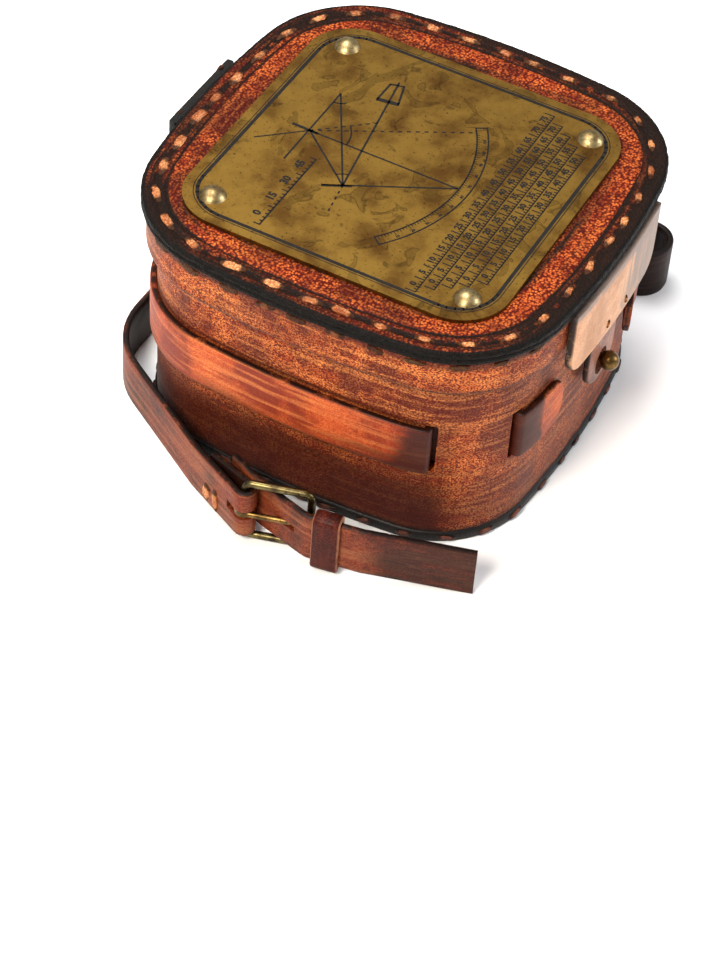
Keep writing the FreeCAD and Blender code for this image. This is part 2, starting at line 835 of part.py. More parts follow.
floor_low = 0.0
thick = float(strap_thick)
buckle_low = float(wire_radius) * 2 + float(size("frame_clearance"))
buckle_middle = buckle_low + float(strap_width) / 2
bar = vec(-float(case_half) - float(size("bar_out")), size("bar_back"))
run_dir = heading(RUN_ANGLE)
run_out = outward(run_dir)
fold_radius = float(wire_radius) + float(size("fold_gap")) + thick / 2
fold_length = float(size("fold_length"))
run_length = fold_length + float(size("lace_length"))


def run_point(back, offset):
    """Point beside the bar, measured back along the run and out from its middle."""
    return bar - run_dir * back + run_out * offset


def main_offset(back):
    """The run's middle line opens away from the bar as it nears it."""
    return fold_radius * (1 - back / run_length)


def main_low(back):
    return buckle_low * (1 - back / run_length)


run_start = run_point(run_length, 0)
fold_start = run_point(0, fold_radius)
splice_x = float(case_half) + float(strap_gap) * 2 + thick * 1.5
bight_x = float(case_half) + float(size("right_run_gap")) - float(size("bight_width"))
bight_start = float(case_half) - float(size("bight_start_inset"))
bight_end = float(case_half) - float(size("bight_end_inset"))
loop_x = float(case_half) - float(size("loop_inset"))
right_x = float(case_half) + float(size("right_run_gap"))
back_y = float(case_half) + float(size("back_run_gap"))
bight_bend = float(size("bight_bend"))
carry = route([
    (splice_x, float(size("splice_back")), band_low, 0),
    (splice_x, float(size("splice_ahead")), band_low, float(size("splice_bend"))),
    (bight_x, -bight_start, floor_low, float(size("splice_bend"))),
    (bight_x, -bight_end, floor_low, bight_bend),
    (right_x, -bight_end, floor_low, bight_bend),
    (right_x, back_y, floor_low, float(size("right_bend"))),
    (-loop_x, back_y, floor_low, float(size("loop_bend"))),
    (run_start.x, run_start.y, floor_low, float(size("run_bend"))),
    (fold_start.x, fold_start.y, buckle_low, 0),
])
fold_steps = math.ceil(180.0 / (2 * ARC_STEP))
for step in range(1, fold_steps + 1):
    angle = math.pi * step / fold_steps
    spoke = run_out * math.cos(angle) + run_dir * math.sin(angle)
    carry.append((bar + spoke * fold_radius, buckle_low))
fold_end = run_point(fold_length, main_offset(fold_length) - thick - float(size("fold_gap")))
carry.append((fold_end, main_low(fold_length)))
prong_radius = size("prong_radius")
eye_radius = float(wire_radius) + float(size("bar_clearance")) + 2 * float(prong_radius)
slot_reach = fold_radius + thick
slot_tall = 2 * (float(prong_radius) + float(size("fold_slot_gap")))
slot_start = vec(-slot_reach, -slot_reach, -slot_tall / 2)
fold_slot = Part.makeBox(2 * slot_reach, 2 * slot_reach, slot_tall, slot_start)
fold_slot.Placement = placed(bar.x, bar.y, buckle_middle, -RUN_ANGLE)
feature("carry_strap", ribbon(carry).cut(fold_slot))


def upright_stitch(point, out, middle, tall):
    """A stitch on the outer face of a strap, standing upright."""
    width, deep = float(lace_width), float(lace_thick)
    bar_shape = Part.makeBox(deep, width, tall, vec(0, -width / 2, -tall / 2))
    bar_shape.Placement = placed(point.x, point.y, middle, math.degrees(math.atan2(out.y, out.x)))
    return bar_shape


lace_length = float(size("lace_length"))
face_offset = thick / 2 + lace_seat
run_face = (fold_start - run_start).normalize()
run_laces = []
for back in (fold_length - float(lace_width), fold_length - 3 * float(lace_width)):
    point = run_point(back, main_offset(back)) + outward(run_face) * face_offset
    level = main_low(back) + RUN_LACE_SHARE * float(strap_width)
    run_laces.append(upright_stitch(point, outward(run_face), level, lace_length))
feature("strap_lacing", Part.makeCompound(run_laces))

splice_laces = []
for share in SPLICE_SHARES:
    point = vec(splice_x + face_offset, share * float(size("splice_back")))
    for level_share in LEVEL_SHARES:
        level = float(band_low) + level_share * float(strap_width)
        splice_laces.append(upright_stitch(point, vec(1, 0), level, lace_length / 2))
feature("splice_lacing", Part.makeCompound(splice_laces))

# buckle: a frame bent from round wire, whose rear leg is the bar that the prong turns on

frame_dir = heading(FRAME_ANGLE)
frame_out = outward(frame_dir)
frame_length = float(size("frame_length"))
frame_tall = float(strap_width) + 2 * float(size("frame_clearance")) + 2 * float(wire_radius)
frame_corner = float(size("frame_corner"))


def frame_point(ahead, up):
    point = bar + frame_dir * ahead
    return vec(point.x, point.y, float(wire_radius) + up)


def frame_path():
    """The wire's middle line, a rounded rectangle in an upright plane."""
    r = frame_corner
    cut_corner = r * (1 - math.cos(math.radians(45.0)))
    spots = []
    for ahead, up, da, du in ((0, 0, 1, 1), (frame_length, 0, -1, 1),
                              (frame_length, frame_tall, -1, -1), (0, frame_tall, 1, -1)):
        toward = frame_point(ahead + da * r, up)
        middle = frame_point(ahead + da * cut_corner, up + du * cut_corner)
        upright = frame_point(ahead, up + du * r)
        spots.append((toward, middle, upright))
    edges = []
    for number, (level, middle, upright) in enumerate(spots):
        first, last = (upright, level) if number % 2 == 0 else (level, upright)
        edges.append(Part.Arc(first, middle, last).toShape())
        next_level, next_middle, next_upright = spots[(number + 1) % 4]
        target = next_level if number % 2 == 0 else next_upright
        edges.append(Part.LineSegment(last, target).toShape())
    return Part.Wire(edges)


wire_path = frame_path()
wire_section = Part.Wire(Part.makeCircle(float(wire_radius), frame_point(0, frame_corner), vec(0, 0, 1)))
frame_shape = wire_path.makePipeShell([wire_section], True, False)
feature("buckle_frame", frame_shape)

prong_offset = float(wire_radius) + float(size("bar_clearance")) + float(prong_radius)
prong_length = frame_length + float(wire_radius) + float(size("prong_overlap"))
eye_low = vec(bar.x, bar.y, buckle_middle - float(prong_radius))
eye = Part.makeCylinder(eye_radius, 2 * float(prong_radius), eye_low)
eye_bore = Part.makeCylinder(
    float(wire_radius) + float(size("bar_clearance")), float(strap_width), vec(bar.x, bar.y, buckle_low))
prong_start = bar + frame_out * prong_offset
prong_rod = Part.makeCylinder(
    float(prong_radius), prong_length, vec(prong_start.x, prong_start.y, buckle_middle), frame_dir)
feature("buckle_prong", eye.fuse(prong_rod).cut(eye_bore).removeSplitter())

# billet: the punched strap end that passes through the frame and the keeper

inner_point = run_point(0, -(fold_radius + thick + 2 * float(size("fold_gap"))))
tip_point = inner_point - run_dir * float(size("billet_tip"))
far_offset = float(wire_radius) + 2 * float(prong_radius) + float(size("prong_play")) + thick / 2
far_offset = far_offset + float(size("prong_clearance")) * 2 + float(size("bar_clearance"))
far_point = bar + frame_dir * frame_length + frame_out * far_offset
keeper_dir = heading(KEEPER_ANGLE)
keeper_end = far_point + keeper_dir * float(size("keeper_run"))
tail_end = keeper_end + heading(TAIL_ANGLE) * float(size("tail_length"))
billet_bend = float(size("billet_bend"))
billet = ribbon(route([
    (tip_point.x, tip_point.y, buckle_low, 0),
    (inner_point.x, inner_point.y, buckle_low, billet_bend),
    (far_point.x, far_point.y, buckle_low, billet_bend),
    (keeper_end.x, keeper_end.y, buckle_low, billet_bend),
    (tail_end.x, tail_end.y, floor_low, 0),
]))
hole_half = float(prong_radius) + float(size("prong_clearance"))
hole_deep = 2 * hole_half + float(size("prong_play"))
hole_start = vec(-hole_half, 0, -hole_half)
prong_hole = Part.makeBox(hole_deep, prong_length, 2 * hole_half, hole_start)
prong_hole.Placement = placed(prong_start.x, prong_start.y, buckle_middle, 180.0 - FRAME_ANGLE)
feature("strap_billet", billet.cut(prong_hole))

# keeper: a band of leather that slides along the billet

keeper_gap = size("keeper_gap")
keeper_thick = size("keeper_thick")
keeper_length = size("keeper_length")
keeper_middle = far_point + keeper_dir * float(size("keeper_at"))


def keeper_block(name, across, along, tall):
    """A box centred on the billet at the keeper."""
    frame = placed(keeper_middle.x, keeper_middle.y, buckle_middle, -KEEPER_ANGLE)
    shift = placed(-float(across) / 2, -float(along) / 2, -float(tall) / 2)
    return box_object(name, across, along, tall, frame * shift)


inner_across = strap_thick + keeper_gap * 2
inner_tall = strap_width + keeper_gap * 2
outer_across = inner_across + keeper_thick * 2
outer_tall = inner_tall + keeper_thick * 2
keeper_outer = keeper_block("keeper_outer", outer_across, keeper_length, outer_tall)
keeper_inner = keeper_block("keeper_inner", inner_across, keeper_length * 2, inner_tall)
cut("strap_keeper", keeper_outer, keeper_inner)

# checks and files

doc.recompute()
for obj in doc.Objects:
    if "Invalid" in obj.State or "Error" in obj.State:
        raise RuntimeError("%s failed: %s" % (obj.Label, obj.State))
for piece in parts:
    if piece.Shape.isNull() or not piece.Shape.isValid() or piece.Shape.Volume <= 0:
        raise RuntimeError("%s has no sound shape" % piece.Label)
os.makedirs("parts", exist_ok=True)
for piece in parts:
    piece.Shape.exportStep("parts/%s.step" % piece.Label)
    box = piece.Shape.BoundBox
    print("%-20s %2d solids %9.1f mm3  x %6.1f %6.1f  y %6.1f %6.1f  z %6.1f %6.1f" % (
        piece.Label, len(piece.Shape.Solids), piece.Shape.Volume,
        box.XMin, box.XMax, box.YMin, box.YMax, box.ZMin, box.ZMax))
print("hinge axis y %.2f z %.2f" % (hinge_outer, skirt_low))
print("flap axis y %.2f z %.2f" % (-flap_front, flap_top))
print("buckle bar x %.2f y %.2f, prong z %.2f" % (bar.x, bar.y, buckle_middle))
print("keeper slides along %.4f %.4f" % (keeper_dir.x, keeper_dir.y))
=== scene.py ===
import math
import random

import bmesh
import bpy
from mathutils import Matrix, Vector, noise
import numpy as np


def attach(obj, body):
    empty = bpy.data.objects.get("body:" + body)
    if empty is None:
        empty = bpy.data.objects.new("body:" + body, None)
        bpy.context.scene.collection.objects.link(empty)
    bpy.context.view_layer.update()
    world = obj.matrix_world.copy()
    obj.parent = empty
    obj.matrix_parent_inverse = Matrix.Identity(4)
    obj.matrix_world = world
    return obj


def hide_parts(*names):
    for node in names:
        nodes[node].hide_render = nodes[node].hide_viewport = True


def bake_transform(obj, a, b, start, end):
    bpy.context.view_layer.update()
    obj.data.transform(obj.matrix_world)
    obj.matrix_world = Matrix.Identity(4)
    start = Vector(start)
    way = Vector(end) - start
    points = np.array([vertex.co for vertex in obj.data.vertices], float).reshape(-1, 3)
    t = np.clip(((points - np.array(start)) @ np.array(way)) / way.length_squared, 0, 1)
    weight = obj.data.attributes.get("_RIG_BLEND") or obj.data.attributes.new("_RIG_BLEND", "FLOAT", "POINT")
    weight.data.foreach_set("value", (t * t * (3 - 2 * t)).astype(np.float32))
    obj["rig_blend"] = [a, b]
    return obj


# A leather instrument case: waxed saddle leather with a black burnished rim and tan lacing, a
# tarnished brass plate, a ball stud and a wire buckle. Lengths here are in millimetres until a
# mesh is finished; +Z is up, the stud faces -Y and the hinge is on +Y.

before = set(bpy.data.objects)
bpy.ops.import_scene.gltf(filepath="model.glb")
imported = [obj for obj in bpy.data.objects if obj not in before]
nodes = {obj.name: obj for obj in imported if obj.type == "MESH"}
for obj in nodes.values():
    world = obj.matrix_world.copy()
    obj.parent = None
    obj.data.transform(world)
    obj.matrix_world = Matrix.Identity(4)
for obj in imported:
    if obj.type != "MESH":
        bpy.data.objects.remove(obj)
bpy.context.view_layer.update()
MM = 0.001

# outline of the case wall, seen from above: flat side arcs joined by corner arcs
HALF = 62.0
CORNER_RADIUS = 31.0
SIDE_RADIUS = 276.0
SIDE_CENTRE = SIDE_RADIUS - HALF
REACH = SIDE_RADIUS - CORNER_RADIUS
CORNER_CENTRE = (-SIDE_CENTRE + math.sqrt(2 * REACH ** 2 - SIDE_CENTRE ** 2)) / 2
SIDE_LIMIT = math.degrees(math.atan2(CORNER_CENTRE, CORNER_CENTRE + SIDE_CENTRE))

# heights and thicknesses of the box
BASE_TOP = 4.0
BASE_LIP = 0.6
WALL_TOP = 74.5
WALL = 3.0
SKIRT_LOW = 63.0
LID_UNDER = 75.7
LID_TOP = 79.7
SKIRT_INNER = 0.8
SKIRT_OUTER = 3.5
RIM = 5.1
PLATE_TOP = 80.9
PLATE_X, PLATE_Y = -1.2, 0.7
PLATE_HALF_X, PLATE_HALF_Y = 50.0, 50.5

# straps; a turn is the direction that the wall faces, in degrees from +X towards +Y
BACK_TURN = 90.0
FRONT_TURN = 270.0
STRAP_WIDTH = 17.0
STRAP_THICK = 2.0
BAND_LOW = 29.5
BAND_TOP = BAND_LOW + STRAP_WIDTH
SLOT_ANGLE = 20.0
SLOT_TURNS = (180.0 + SLOT_ANGLE, FRONT_TURN - SLOT_ANGLE, FRONT_TURN + SLOT_ANGLE, 360.0 - SLOT_ANGLE)
SLOT_SIZE = (9.0, 3.8, 17.8)
SLOT_SHIFT = 0.6
OUTSIDE = 1.3
INSIDE = -4.3

# flap, tongue, stud and hinge
FLAP_X = 1.5
FLAP_Y = -67.0
FLAP_WIDTH = 57.0
FLAP_THICK = 2.4
TONGUE_Y = -64.8
TONGUE_WIDTH = 18.0
TONGUE_THICK = 2.0
STUD_HEIGHT = 37.0
HINGE_WIDTH = 34.0
HINGE_THICK = 2.4

# lacing
STITCH_PITCH = 12.0
LACE_THICK = 0.7

UP = Vector((0, 0, 1))
SIDEWAYS = Vector((1, 0, 0))


def facing(turn):
    """Outward direction of the wall at a turn."""
    return Vector((math.cos(math.radians(turn)), math.sin(math.radians(turn)), 0))


def along_outline(turn):
    """Direction along the wall at a turn, anticlockwise from above."""
    return Vector((-math.sin(math.radians(turn)), math.cos(math.radians(turn)), 0))


def outline(turn, offset=0.0):
    """Point of the outline, moved outwards by offset, where the wall faces turn, in degrees."""
    turn = turn % 360.0
    quarter = round(turn / 90.0)
    out = facing(turn)
    if abs(turn - 90.0 * quarter) <= SIDE_LIMIT:
        axis = math.radians(90.0 * quarter)
        centre = Vector((-SIDE_CENTRE * math.cos(axis), -SIDE_CENTRE * math.sin(axis), 0))
        return centre + out * (SIDE_RADIUS + offset)
    centre = Vector((math.copysign(CORNER_CENTRE, out.x), math.copysign(CORNER_CENTRE, out.y), 0))
    return centre + out * (CORNER_RADIUS + offset)


def even_turns(count):
    """Turns of points that lie evenly spaced along the outline, and the outline's length."""
    fine_step = 0.25
    fine = [step * fine_step for step in range(round(360 / fine_step) + 1)]
    spots = [outline(turn) for turn in fine]
    walked = [0.0]
    for here, there in zip(spots, spots[1:]):
        walked.append(walked[-1] + (there - here).length)
    made = []
    at = 0
    for step in range(count):
        goal = walked[-1] * step / count
        while walked[at + 1] < goal:
            at += 1
        part = (goal - walked[at]) / (walked[at + 1] - walked[at])
        made.append(fine[at] + part * fine_step)
    return made, walked[-1]


def lace_turns(offset):
    """Turns at which stitches sit: the pitch is eased so that a whole number goes round."""
    fine_step = 0.5
    fine = [outline(step * fine_step, offset) for step in range(round(360 / fine_step) + 1)]
    total = sum((b - a).length for a, b in zip(fine, fine[1:]))
    count = round(total / STITCH_PITCH)
    spacing = total / count
    made = []
    walked = 0.0
    for step, (a, b) in enumerate(zip(fine, fine[1:])):
        if walked >= len(made) * spacing and len(made) < count:
            made.append(step * fine_step)
        walked += (b - a).length
    return made


# points of a ring round the case, and twice as many where an edge is ragged
RING_TURNS, RING_LENGTH = even_turns(320)
FINE_TURNS = even_turns(640)[0]


def waver(x, y, z, grain, size):
    """A smooth unevenness of the given size, in millimetres, with waves about grain long."""
    return noise.noise(Vector((x, y, z)) / grain) * size


def smooth(value):
    """Ease from 0 to 1, held level outside that range."""
    value = min(1.0, max(0.0, value))
    return value * value * (3 - 2 * value)


# colours and materials

def linear(code):
    """Linear colour of an sRGB hex value."""
    parts = [int(code[at:at + 2], 16) / 255 for at in (1, 3, 5)]
    return [c / 12.92 if c <= 0.04045 else ((c + 0.055) / 1.055) ** 2.4 for c in parts] + [1.0]


def add(tree, kind, sockets=None, **settings):
    """Add a node, set its settings, then fill its sockets with values or links."""
    node = tree.nodes.new(kind)
    for name, value in settings.items():
        setattr(node, name, value)
    for name, value in (sockets or {}).items():
        if isinstance(value, bpy.types.NodeSocket):
            tree.links.new(value, node.inputs[name])
        else:
            node.inputs[name].default_value = value
    return node


def blank(name):
    """An empty material and its node tree."""
    material = bpy.data.materials.new(name)
    material.use_nodes = True
    tree = material.node_tree
    tree.nodes.clear()
    return material, tree


def leather(name, deep, middle, bright, burnt_and_shade, edge, grain=0.65, streak=0.3, rough=0.5, bump=0.4,
            speck=0.6, coat=0.05, shine=0.2, bloom=0.0, dark_limit=0.9):
    """Waxed vegetable-tanned leather: pebbled grain with painted highlights on its crests and painted shade
    in its creases, dye brushed on in streaks, darkened where the leather is worn and where shade is
    painted, and another tone on its cut edges.

    Real pebbles are about 0.3 mm across. They are drawn two to three times as coarse, by grain in
    millimetres, so that they show."""
    material, tree = blank(name)
    where = add(tree, "ShaderNodeTexCoord")
    spot, along = where.outputs["Object"], where.outputs["UV"]
    per_mm = 1.0 / MM
    patch_size, stroke_length, stroke_width, fleck_size = 22, 34, 2.2, 4.0
    # patches, brush strokes, pebbles and flecks
    blotch = add(tree, "ShaderNodeTexNoise", {
        "Vector": spot, "Scale": per_mm / patch_size, "Detail": 5.0, "Roughness": 0.65})
    brushed = add(tree, "ShaderNodeMapping", {
        "Vector": along, "Scale": (1 / stroke_length, 1 / stroke_width, 1.0)})
    strokes = add(tree, "ShaderNodeTexNoise", {
        "Vector": brushed.outputs[0], "Scale": 1.0, "Detail": 3.0, "Roughness": 0.6, "Distortion": 0.4})
    flattened = add(tree, "ShaderNodeMapping", {"Vector": spot, "Scale": (1.0, 1.0, 1.7)})
    pebble = add(tree, "ShaderNodeTexVoronoi", {
        "Vector": flattened.outputs[0], "Scale": per_mm / grain, "Randomness": 0.9})
    fine = add(tree, "ShaderNodeTexNoise", {
        "Vector": spot, "Scale": per_mm / fleck_size, "Detail": 5.0, "Roughness": 0.7})
    wear = add(tree, "ShaderNodeAttribute", attribute_name="wear")
    rim = add(tree, "ShaderNodeAttribute", attribute_name="edge")
    # dye: patches, then strokes, then painted highlights on the crests and painted shade in the creases
    patch = add(tree, "ShaderNodeMapRange", {
        "Value": blotch.outputs["Fac"], "From Min": 0.4, "From Max": 0.6},
        interpolation_type="SMOOTHSTEP")
    ground = add(tree, "ShaderNodeMix", {
        0: patch.outputs[0], 6: linear(deep), 7: linear(middle)}, data_type="RGBA")
    stroke = add(tree, "ShaderNodeMapRange", {
        "Value": strokes.outputs["Fac"], "From Min": 0.45, "From Max": 0.68, "To Max": streak},
        interpolation_type="SMOOTHSTEP")
    stroked = add(tree, "ShaderNodeMix", {
        0: stroke.outputs[0], 6: ground.outputs[2], 7: linear(bright)}, data_type="RGBA")
    # painted highlight: the crests of the pebbles turn bright, spread unevenly by fine noise
    highlight_amount = add(tree, "ShaderNodeMapRange", {
        "Value": fine.outputs["Fac"], "From Min": 0.38, "From Max": 0.6, "To Min": 0.1, "To Max": speck})
    crest = add(tree, "ShaderNodeMapRange", {
        "Value": pebble.outputs["Distance"], "From Min": 0.62, "From Max": 0.12,
        "To Max": highlight_amount.outputs[0]})
    open_patch = add(tree, "ShaderNodeMapRange", {
        "Value": patch.outputs[0], "To Min": 0.3, "To Max": 1.1})
    showing = add(tree, "ShaderNodeMath", {
        0: crest.outputs[0], 1: open_patch.outputs[0]}, operation="MULTIPLY")
    lit = add(tree, "ShaderNodeMix", {
        0: showing.outputs[0], 6: stroked.outputs[2], 7: linear(bright)}, data_type="RGBA")
    # painted shade: the gaps between the pebbles turn deep
    gap = add(tree, "ShaderNodeMapRange", {
        "Value": pebble.outputs["Distance"], "From Min": 0.4, "From Max": 0.68, "To Max": speck})
    creased = add(tree, "ShaderNodeMix", {
        0: gap.outputs[0], 6: lit.outputs[2], 7: linear(deep)}, data_type="RGBA")
    # darkening by the attribute that carries both real burnishing and painted shade, with a ragged limit, and
    # the cut edges
    uneven = add(tree, "ShaderNodeMath", {
        0: blotch.outputs["Fac"], 1: strokes.outputs["Fac"]}, operation="ADD")
    worn = add(tree, "ShaderNodeMath", {
        0: uneven.outputs[0], 1: 1.4, 2: wear.outputs["Fac"]}, operation="MULTIPLY_ADD")
    burn_and_shade = add(tree, "ShaderNodeMapRange", {
        "Value": worn.outputs[0], "From Min": 1.7, "From Max": 2.35, "To Max": dark_limit},
        interpolation_type="SMOOTHSTEP")
    # the dark colour stands both for real burnishing and for painted shade
    burnished_and_shaded = add(tree, "ShaderNodeMix", {
        0: burn_and_shade.outputs[0], 6: creased.outputs[2], 7: linear(burnt_and_shade)}, data_type="RGBA")
    scuffed = add(tree, "ShaderNodeMapRange", {
        "Value": fine.outputs["Fac"], "From Min": 0.64, "From Max": 0.5, "To Min": 0.45, "To Max": 1.0})
    cut_edge = add(tree, "ShaderNodeMath", {
        0: rim.outputs["Fac"], 1: scuffed.outputs[0]}, operation="MULTIPLY")
    colour = add(tree, "ShaderNodeMix", {
        0: cut_edge.outputs[0], 6: burnished_and_shaded.outputs[2], 7: linear(edge)}, data_type="RGBA")
    # raised grain and a wax finish that is duller in some patches
    height = add(tree, "ShaderNodeMath", {
        0: pebble.outputs["Distance"], 1: -0.8, 2: fine.outputs["Fac"]}, operation="MULTIPLY_ADD")
    raised = add(tree, "ShaderNodeBump", {
        "Height": height.outputs[0], "Strength": bump, "Distance": 0.35 * MM})
    gloss = add(tree, "ShaderNodeMapRange", {
        "Value": blotch.outputs["Fac"], "To Min": rough - 0.08, "To Max": rough + 0.12})
    shader = add(tree, "ShaderNodeBsdfPrincipled", {
        "Base Color": colour.outputs[2], "Roughness": gloss.outputs[0], "Normal": raised.outputs[0],
        "Specular IOR Level": shine, "Coat Weight": coat, "Coat Roughness": 0.3, "Sheen Weight": bloom,
        "Sheen Roughness": 0.4, "Sheen Tint": linear("#f0dcd6")})
    add(tree, "ShaderNodeOutputMaterial", {"Surface": shader.outputs[0]})
    return material


def brass(name, bright, worn, stain, rough=0.32, mottle=18.0):
    """Sheet or turned brass left to tarnish: brown bloom, tide marks of dried stains and fine specks.

    Scratches on real brass are hair-thin. They are drawn 0.35 mm wide so that they show."""
    material, tree = blank(name)
    where = add(tree, "ShaderNodeTexCoord").outputs["Object"]
    per_mm = 1.0 / MM
    speck_size, scratch_length, scratch_width, scratch_depth = 0.9, 14, 0.35, 2
    bloom = add(tree, "ShaderNodeTexNoise", {
        "Vector": where, "Scale": per_mm / mottle, "Detail": 5.0, "Roughness": 0.62})
    cloudy = add(tree, "ShaderNodeTexNoise", {
        "Vector": where, "Scale": per_mm / (mottle * 0.8), "Detail": 2.0, "Distortion": 1.5})
    specks = add(tree, "ShaderNodeTexNoise", {
        "Vector": where, "Scale": per_mm / speck_size, "Detail": 2.0})
    scratch = add(tree, "ShaderNodeMapping", {
        "Vector": where,
        "Scale": (per_mm / scratch_length, per_mm / scratch_width, per_mm / scratch_depth)})
    rubbed = add(tree, "ShaderNodeTexNoise", {
        "Vector": scratch.outputs[0], "Scale": 1.0, "Detail": 3.0})
    dull = add(tree, "ShaderNodeMapRange", {
        "Value": bloom.outputs["Fac"], "From Min": 0.35, "From Max": 0.68},
        interpolation_type="SMOOTHSTEP")
    base = add(tree, "ShaderNodeMix", {
        0: dull.outputs[0], 6: linear(bright), 7: linear(worn)}, data_type="RGBA")
    # a stain is darkest along its dried rim
    away = add(tree, "ShaderNodeMath", {0: cloudy.outputs["Fac"], 1: 0.6}, operation="SUBTRACT")
    ringed = add(tree, "ShaderNodeMath", {0: away.outputs[0]}, operation="ABSOLUTE")
    dried = add(tree, "ShaderNodeMapRange", {
        "Value": ringed.outputs[0], "From Min": 0.022, "From Max": 0.0, "To Max": 0.6})
    pooled = add(tree, "ShaderNodeMapRange", {
        "Value": away.outputs[0], "From Min": 0.0, "From Max": 0.03, "To Max": 0.3})
    marks = add(tree, "ShaderNodeMath", {
        0: dried.outputs[0], 1: pooled.outputs[0]}, operation="MAXIMUM")
    stained = add(tree, "ShaderNodeMix", {
        0: marks.outputs[0], 6: base.outputs[2], 7: linear(stain)}, data_type="RGBA")
    dots = add(tree, "ShaderNodeMapRange", {
        "Value": specks.outputs["Fac"], "From Min": 0.62, "From Max": 0.72, "To Max": 0.75})
    spotted = add(tree, "ShaderNodeMix", {
        0: dots.outputs[0], 6: stained.outputs[2], 7: linear(stain)}, data_type="RGBA")
    gloss = add(tree, "ShaderNodeMapRange", {
        "Value": bloom.outputs["Fac"], "To Min": rough - 0.08, "To Max": rough + 0.18})
    raised = add(tree, "ShaderNodeBump", {
        "Height": rubbed.outputs["Fac"], "Strength": 0.15, "Distance": 0.05 * MM})
    shader = add(tree, "ShaderNodeBsdfPrincipled", {
        "Base Color": spotted.outputs[2], "Metallic": 1.0, "Roughness": gloss.outputs[0],
        "Normal": raised.outputs[0]})
    add(tree, "ShaderNodeOutputMaterial", {"Surface": shader.outputs[0]})
    return material


def engraver_wax(name, code, rough):
    """Black wax rubbed into engraved lines: dull, a little lighter where it has dried out."""
    material, tree = blank(name)
    where = add(tree, "ShaderNodeTexCoord").outputs["Object"]
    cloudy = add(tree, "ShaderNodeTexNoise", {"Vector": where, "Scale": 0.4 / MM, "Detail": 2.0})
    lighter = [min(1.0, c * 1.35 + 0.01) for c in linear(code)[:3]] + [1.0]
    tone = add(tree, "ShaderNodeMix", {
        0: cloudy.outputs["Fac"], 6: linear(code), 7: lighter}, data_type="RGBA")
    shader = add(tree, "ShaderNodeBsdfPrincipled", {
        "Base Color": tone.outputs[2], "Roughness": rough, "Specular IOR Level": 0.15})
    add(tree, "ShaderNodeOutputMaterial", {"Surface": shader.outputs[0]})
    return material


# saddle leather, dyed and hand-waxed: red-brown, with painted orange highlights on its crests and a broken
# satin shine
BODY_LEATHER = leather(
    "saddle_leather_body", "#4a0e04", "#93360f", "#ea8f4a", "#340903", "#140d09",
    streak=0.5, speck=0.85, coat=0.03, shine=0.1, bloom=0.08, dark_limit=0.88)
# the same leather pressed over the lid: coarser pebbles, burnt almost black at the rim
LID_LEATHER = leather(
    "saddle_leather_lid", "#3a0803", "#7c220b", "#dd7836", "#120a06", "#0b0907",
    grain=0.8, streak=0.25, bump=0.8, speck=0.85, coat=0.0, shine=0.08, dark_limit=0.98)
# bridle leather, stuffed with grease: smoother and more even than the body, with long dye streaks
STRAP_LEATHER = leather(
    "bridle_leather_strap", "#70210c", "#ac451b", "#e48848", "#2a0c05", "#1c0a05",
    streak=0.5, bump=0.2, speck=0.35, coat=0.08, shine=0.14)
# bridle leather that was handled for years: darker; its black at the front-right bend and on its inner face is
# painted shade
RUN_LEATHER = leather(
    "bridle_leather_dark", "#300d06", "#6a2812", "#b06c42", "#060303", "#100805",
    streak=0.4, bump=0.25, speck=0.3, coat=0.06, shine=0.12)
# undyed saddle leather: pale and matt, greyer in places, with a dark cut edge; its grey also serves for painted
# shade under the rim
FLAP_LEATHER = leather(
    "saddle_leather_flap", "#a8744f", "#cf9a73", "#ecc3a0", "#7a6f69", "#2a1e18",
    grain=0.6, streak=0.12, bump=0.3, speck=0.35)
# calf leather, mauve-brown, with a little polish left
TONGUE_LEATHER = leather(
    "mauve_calf_leather", "#5a3226", "#94604a", "#c99a80", "#160c09", "#1c0f0b",
    streak=0.4, bump=0.25, speck=0.3, coat=0.15)
# mahogany-dyed leather: almost black, with a light raw edge
DARK_LEATHER = leather(
    "mahogany_leather", "#1c0503", "#360d07", "#702c18", "#0a0303", "#a06a4a",
    streak=0.35, bump=0.3, speck=0.4, coat=0.04, shine=0.1)
# leather burnished with gum until it is black and closed
RIM_LEATHER = leather(
    "burnished_edge_leather", "#14100c", "#211a14", "#44362a", "#080705", "#0a0806",
    streak=0.3, speck=0.4)
# hard rolled sole leather, blackened: flat brown-black without bright crests
SOLE_LEATHER = leather(
    "blackened_sole_leather", "#2e130a", "#4c2211", "#7c4426", "#0d0806", "#0a0806",
    streak=0.2, speck=0.4)
# calf lace, cut thin and waxed: tan on top, with painted shade where it goes into its holes
LACE = leather(
    "calf_lace", "#783a1a", "#bf7a48", "#e6b184", "#1a0c07", "#4a2a18",
    streak=0.35, bump=0.4, speck=0.6, coat=0.0, shine=0.08)
# the same lace, darker
BASE_LACE = leather(
    "waxed_dark_lace", "#32140c", "#643424", "#9a6450", "#140805", "#2c140c",
    streak=0.3, bump=0.2, speck=0.3)
# rolled sheet brass, tarnished: brown bloom in broad clouds and a dull sheen
PLATE_BRASS = brass("tarnished_sheet_brass", "#8a6a2e", "#583c18", "#2e200d", rough=0.42, mottle=16.0)
# peened rivet heads, rubbed pale on top
RIVET_BRASS = brass("aged_rivet_brass", "#a8956a", "#7c6640", "#3c301d", rough=0.36, mottle=3.0)
# turned brass gone dark, with a tight highlight
STUD_BRASS = brass("dark_turned_brass", "#7c5f34", "#43331c", "#20180e", rough=0.3, mottle=4.0)
# drawn brass wire with an olive tarnish
WIRE_BRASS = brass("aged_wire_brass", "#70643f", "#3a3122", "#1a140a", rough=0.3, mottle=4.0)
# black wax in the engraved lines: dull against the brass
ENGRAVED = engraver_wax("black_filled_engraving", "#0c0906", 0.7)


# meshes

def start_mesh():
    """A mesh whose vertices carry their place on the leather, how worn they are with any painted shade, and how
    far they are cut edge.
    """
    bm = bmesh.new()
    for layer in ("along", "around", "wear", "edge"):
        bm.verts.layers.float.new(layer)
    return bm


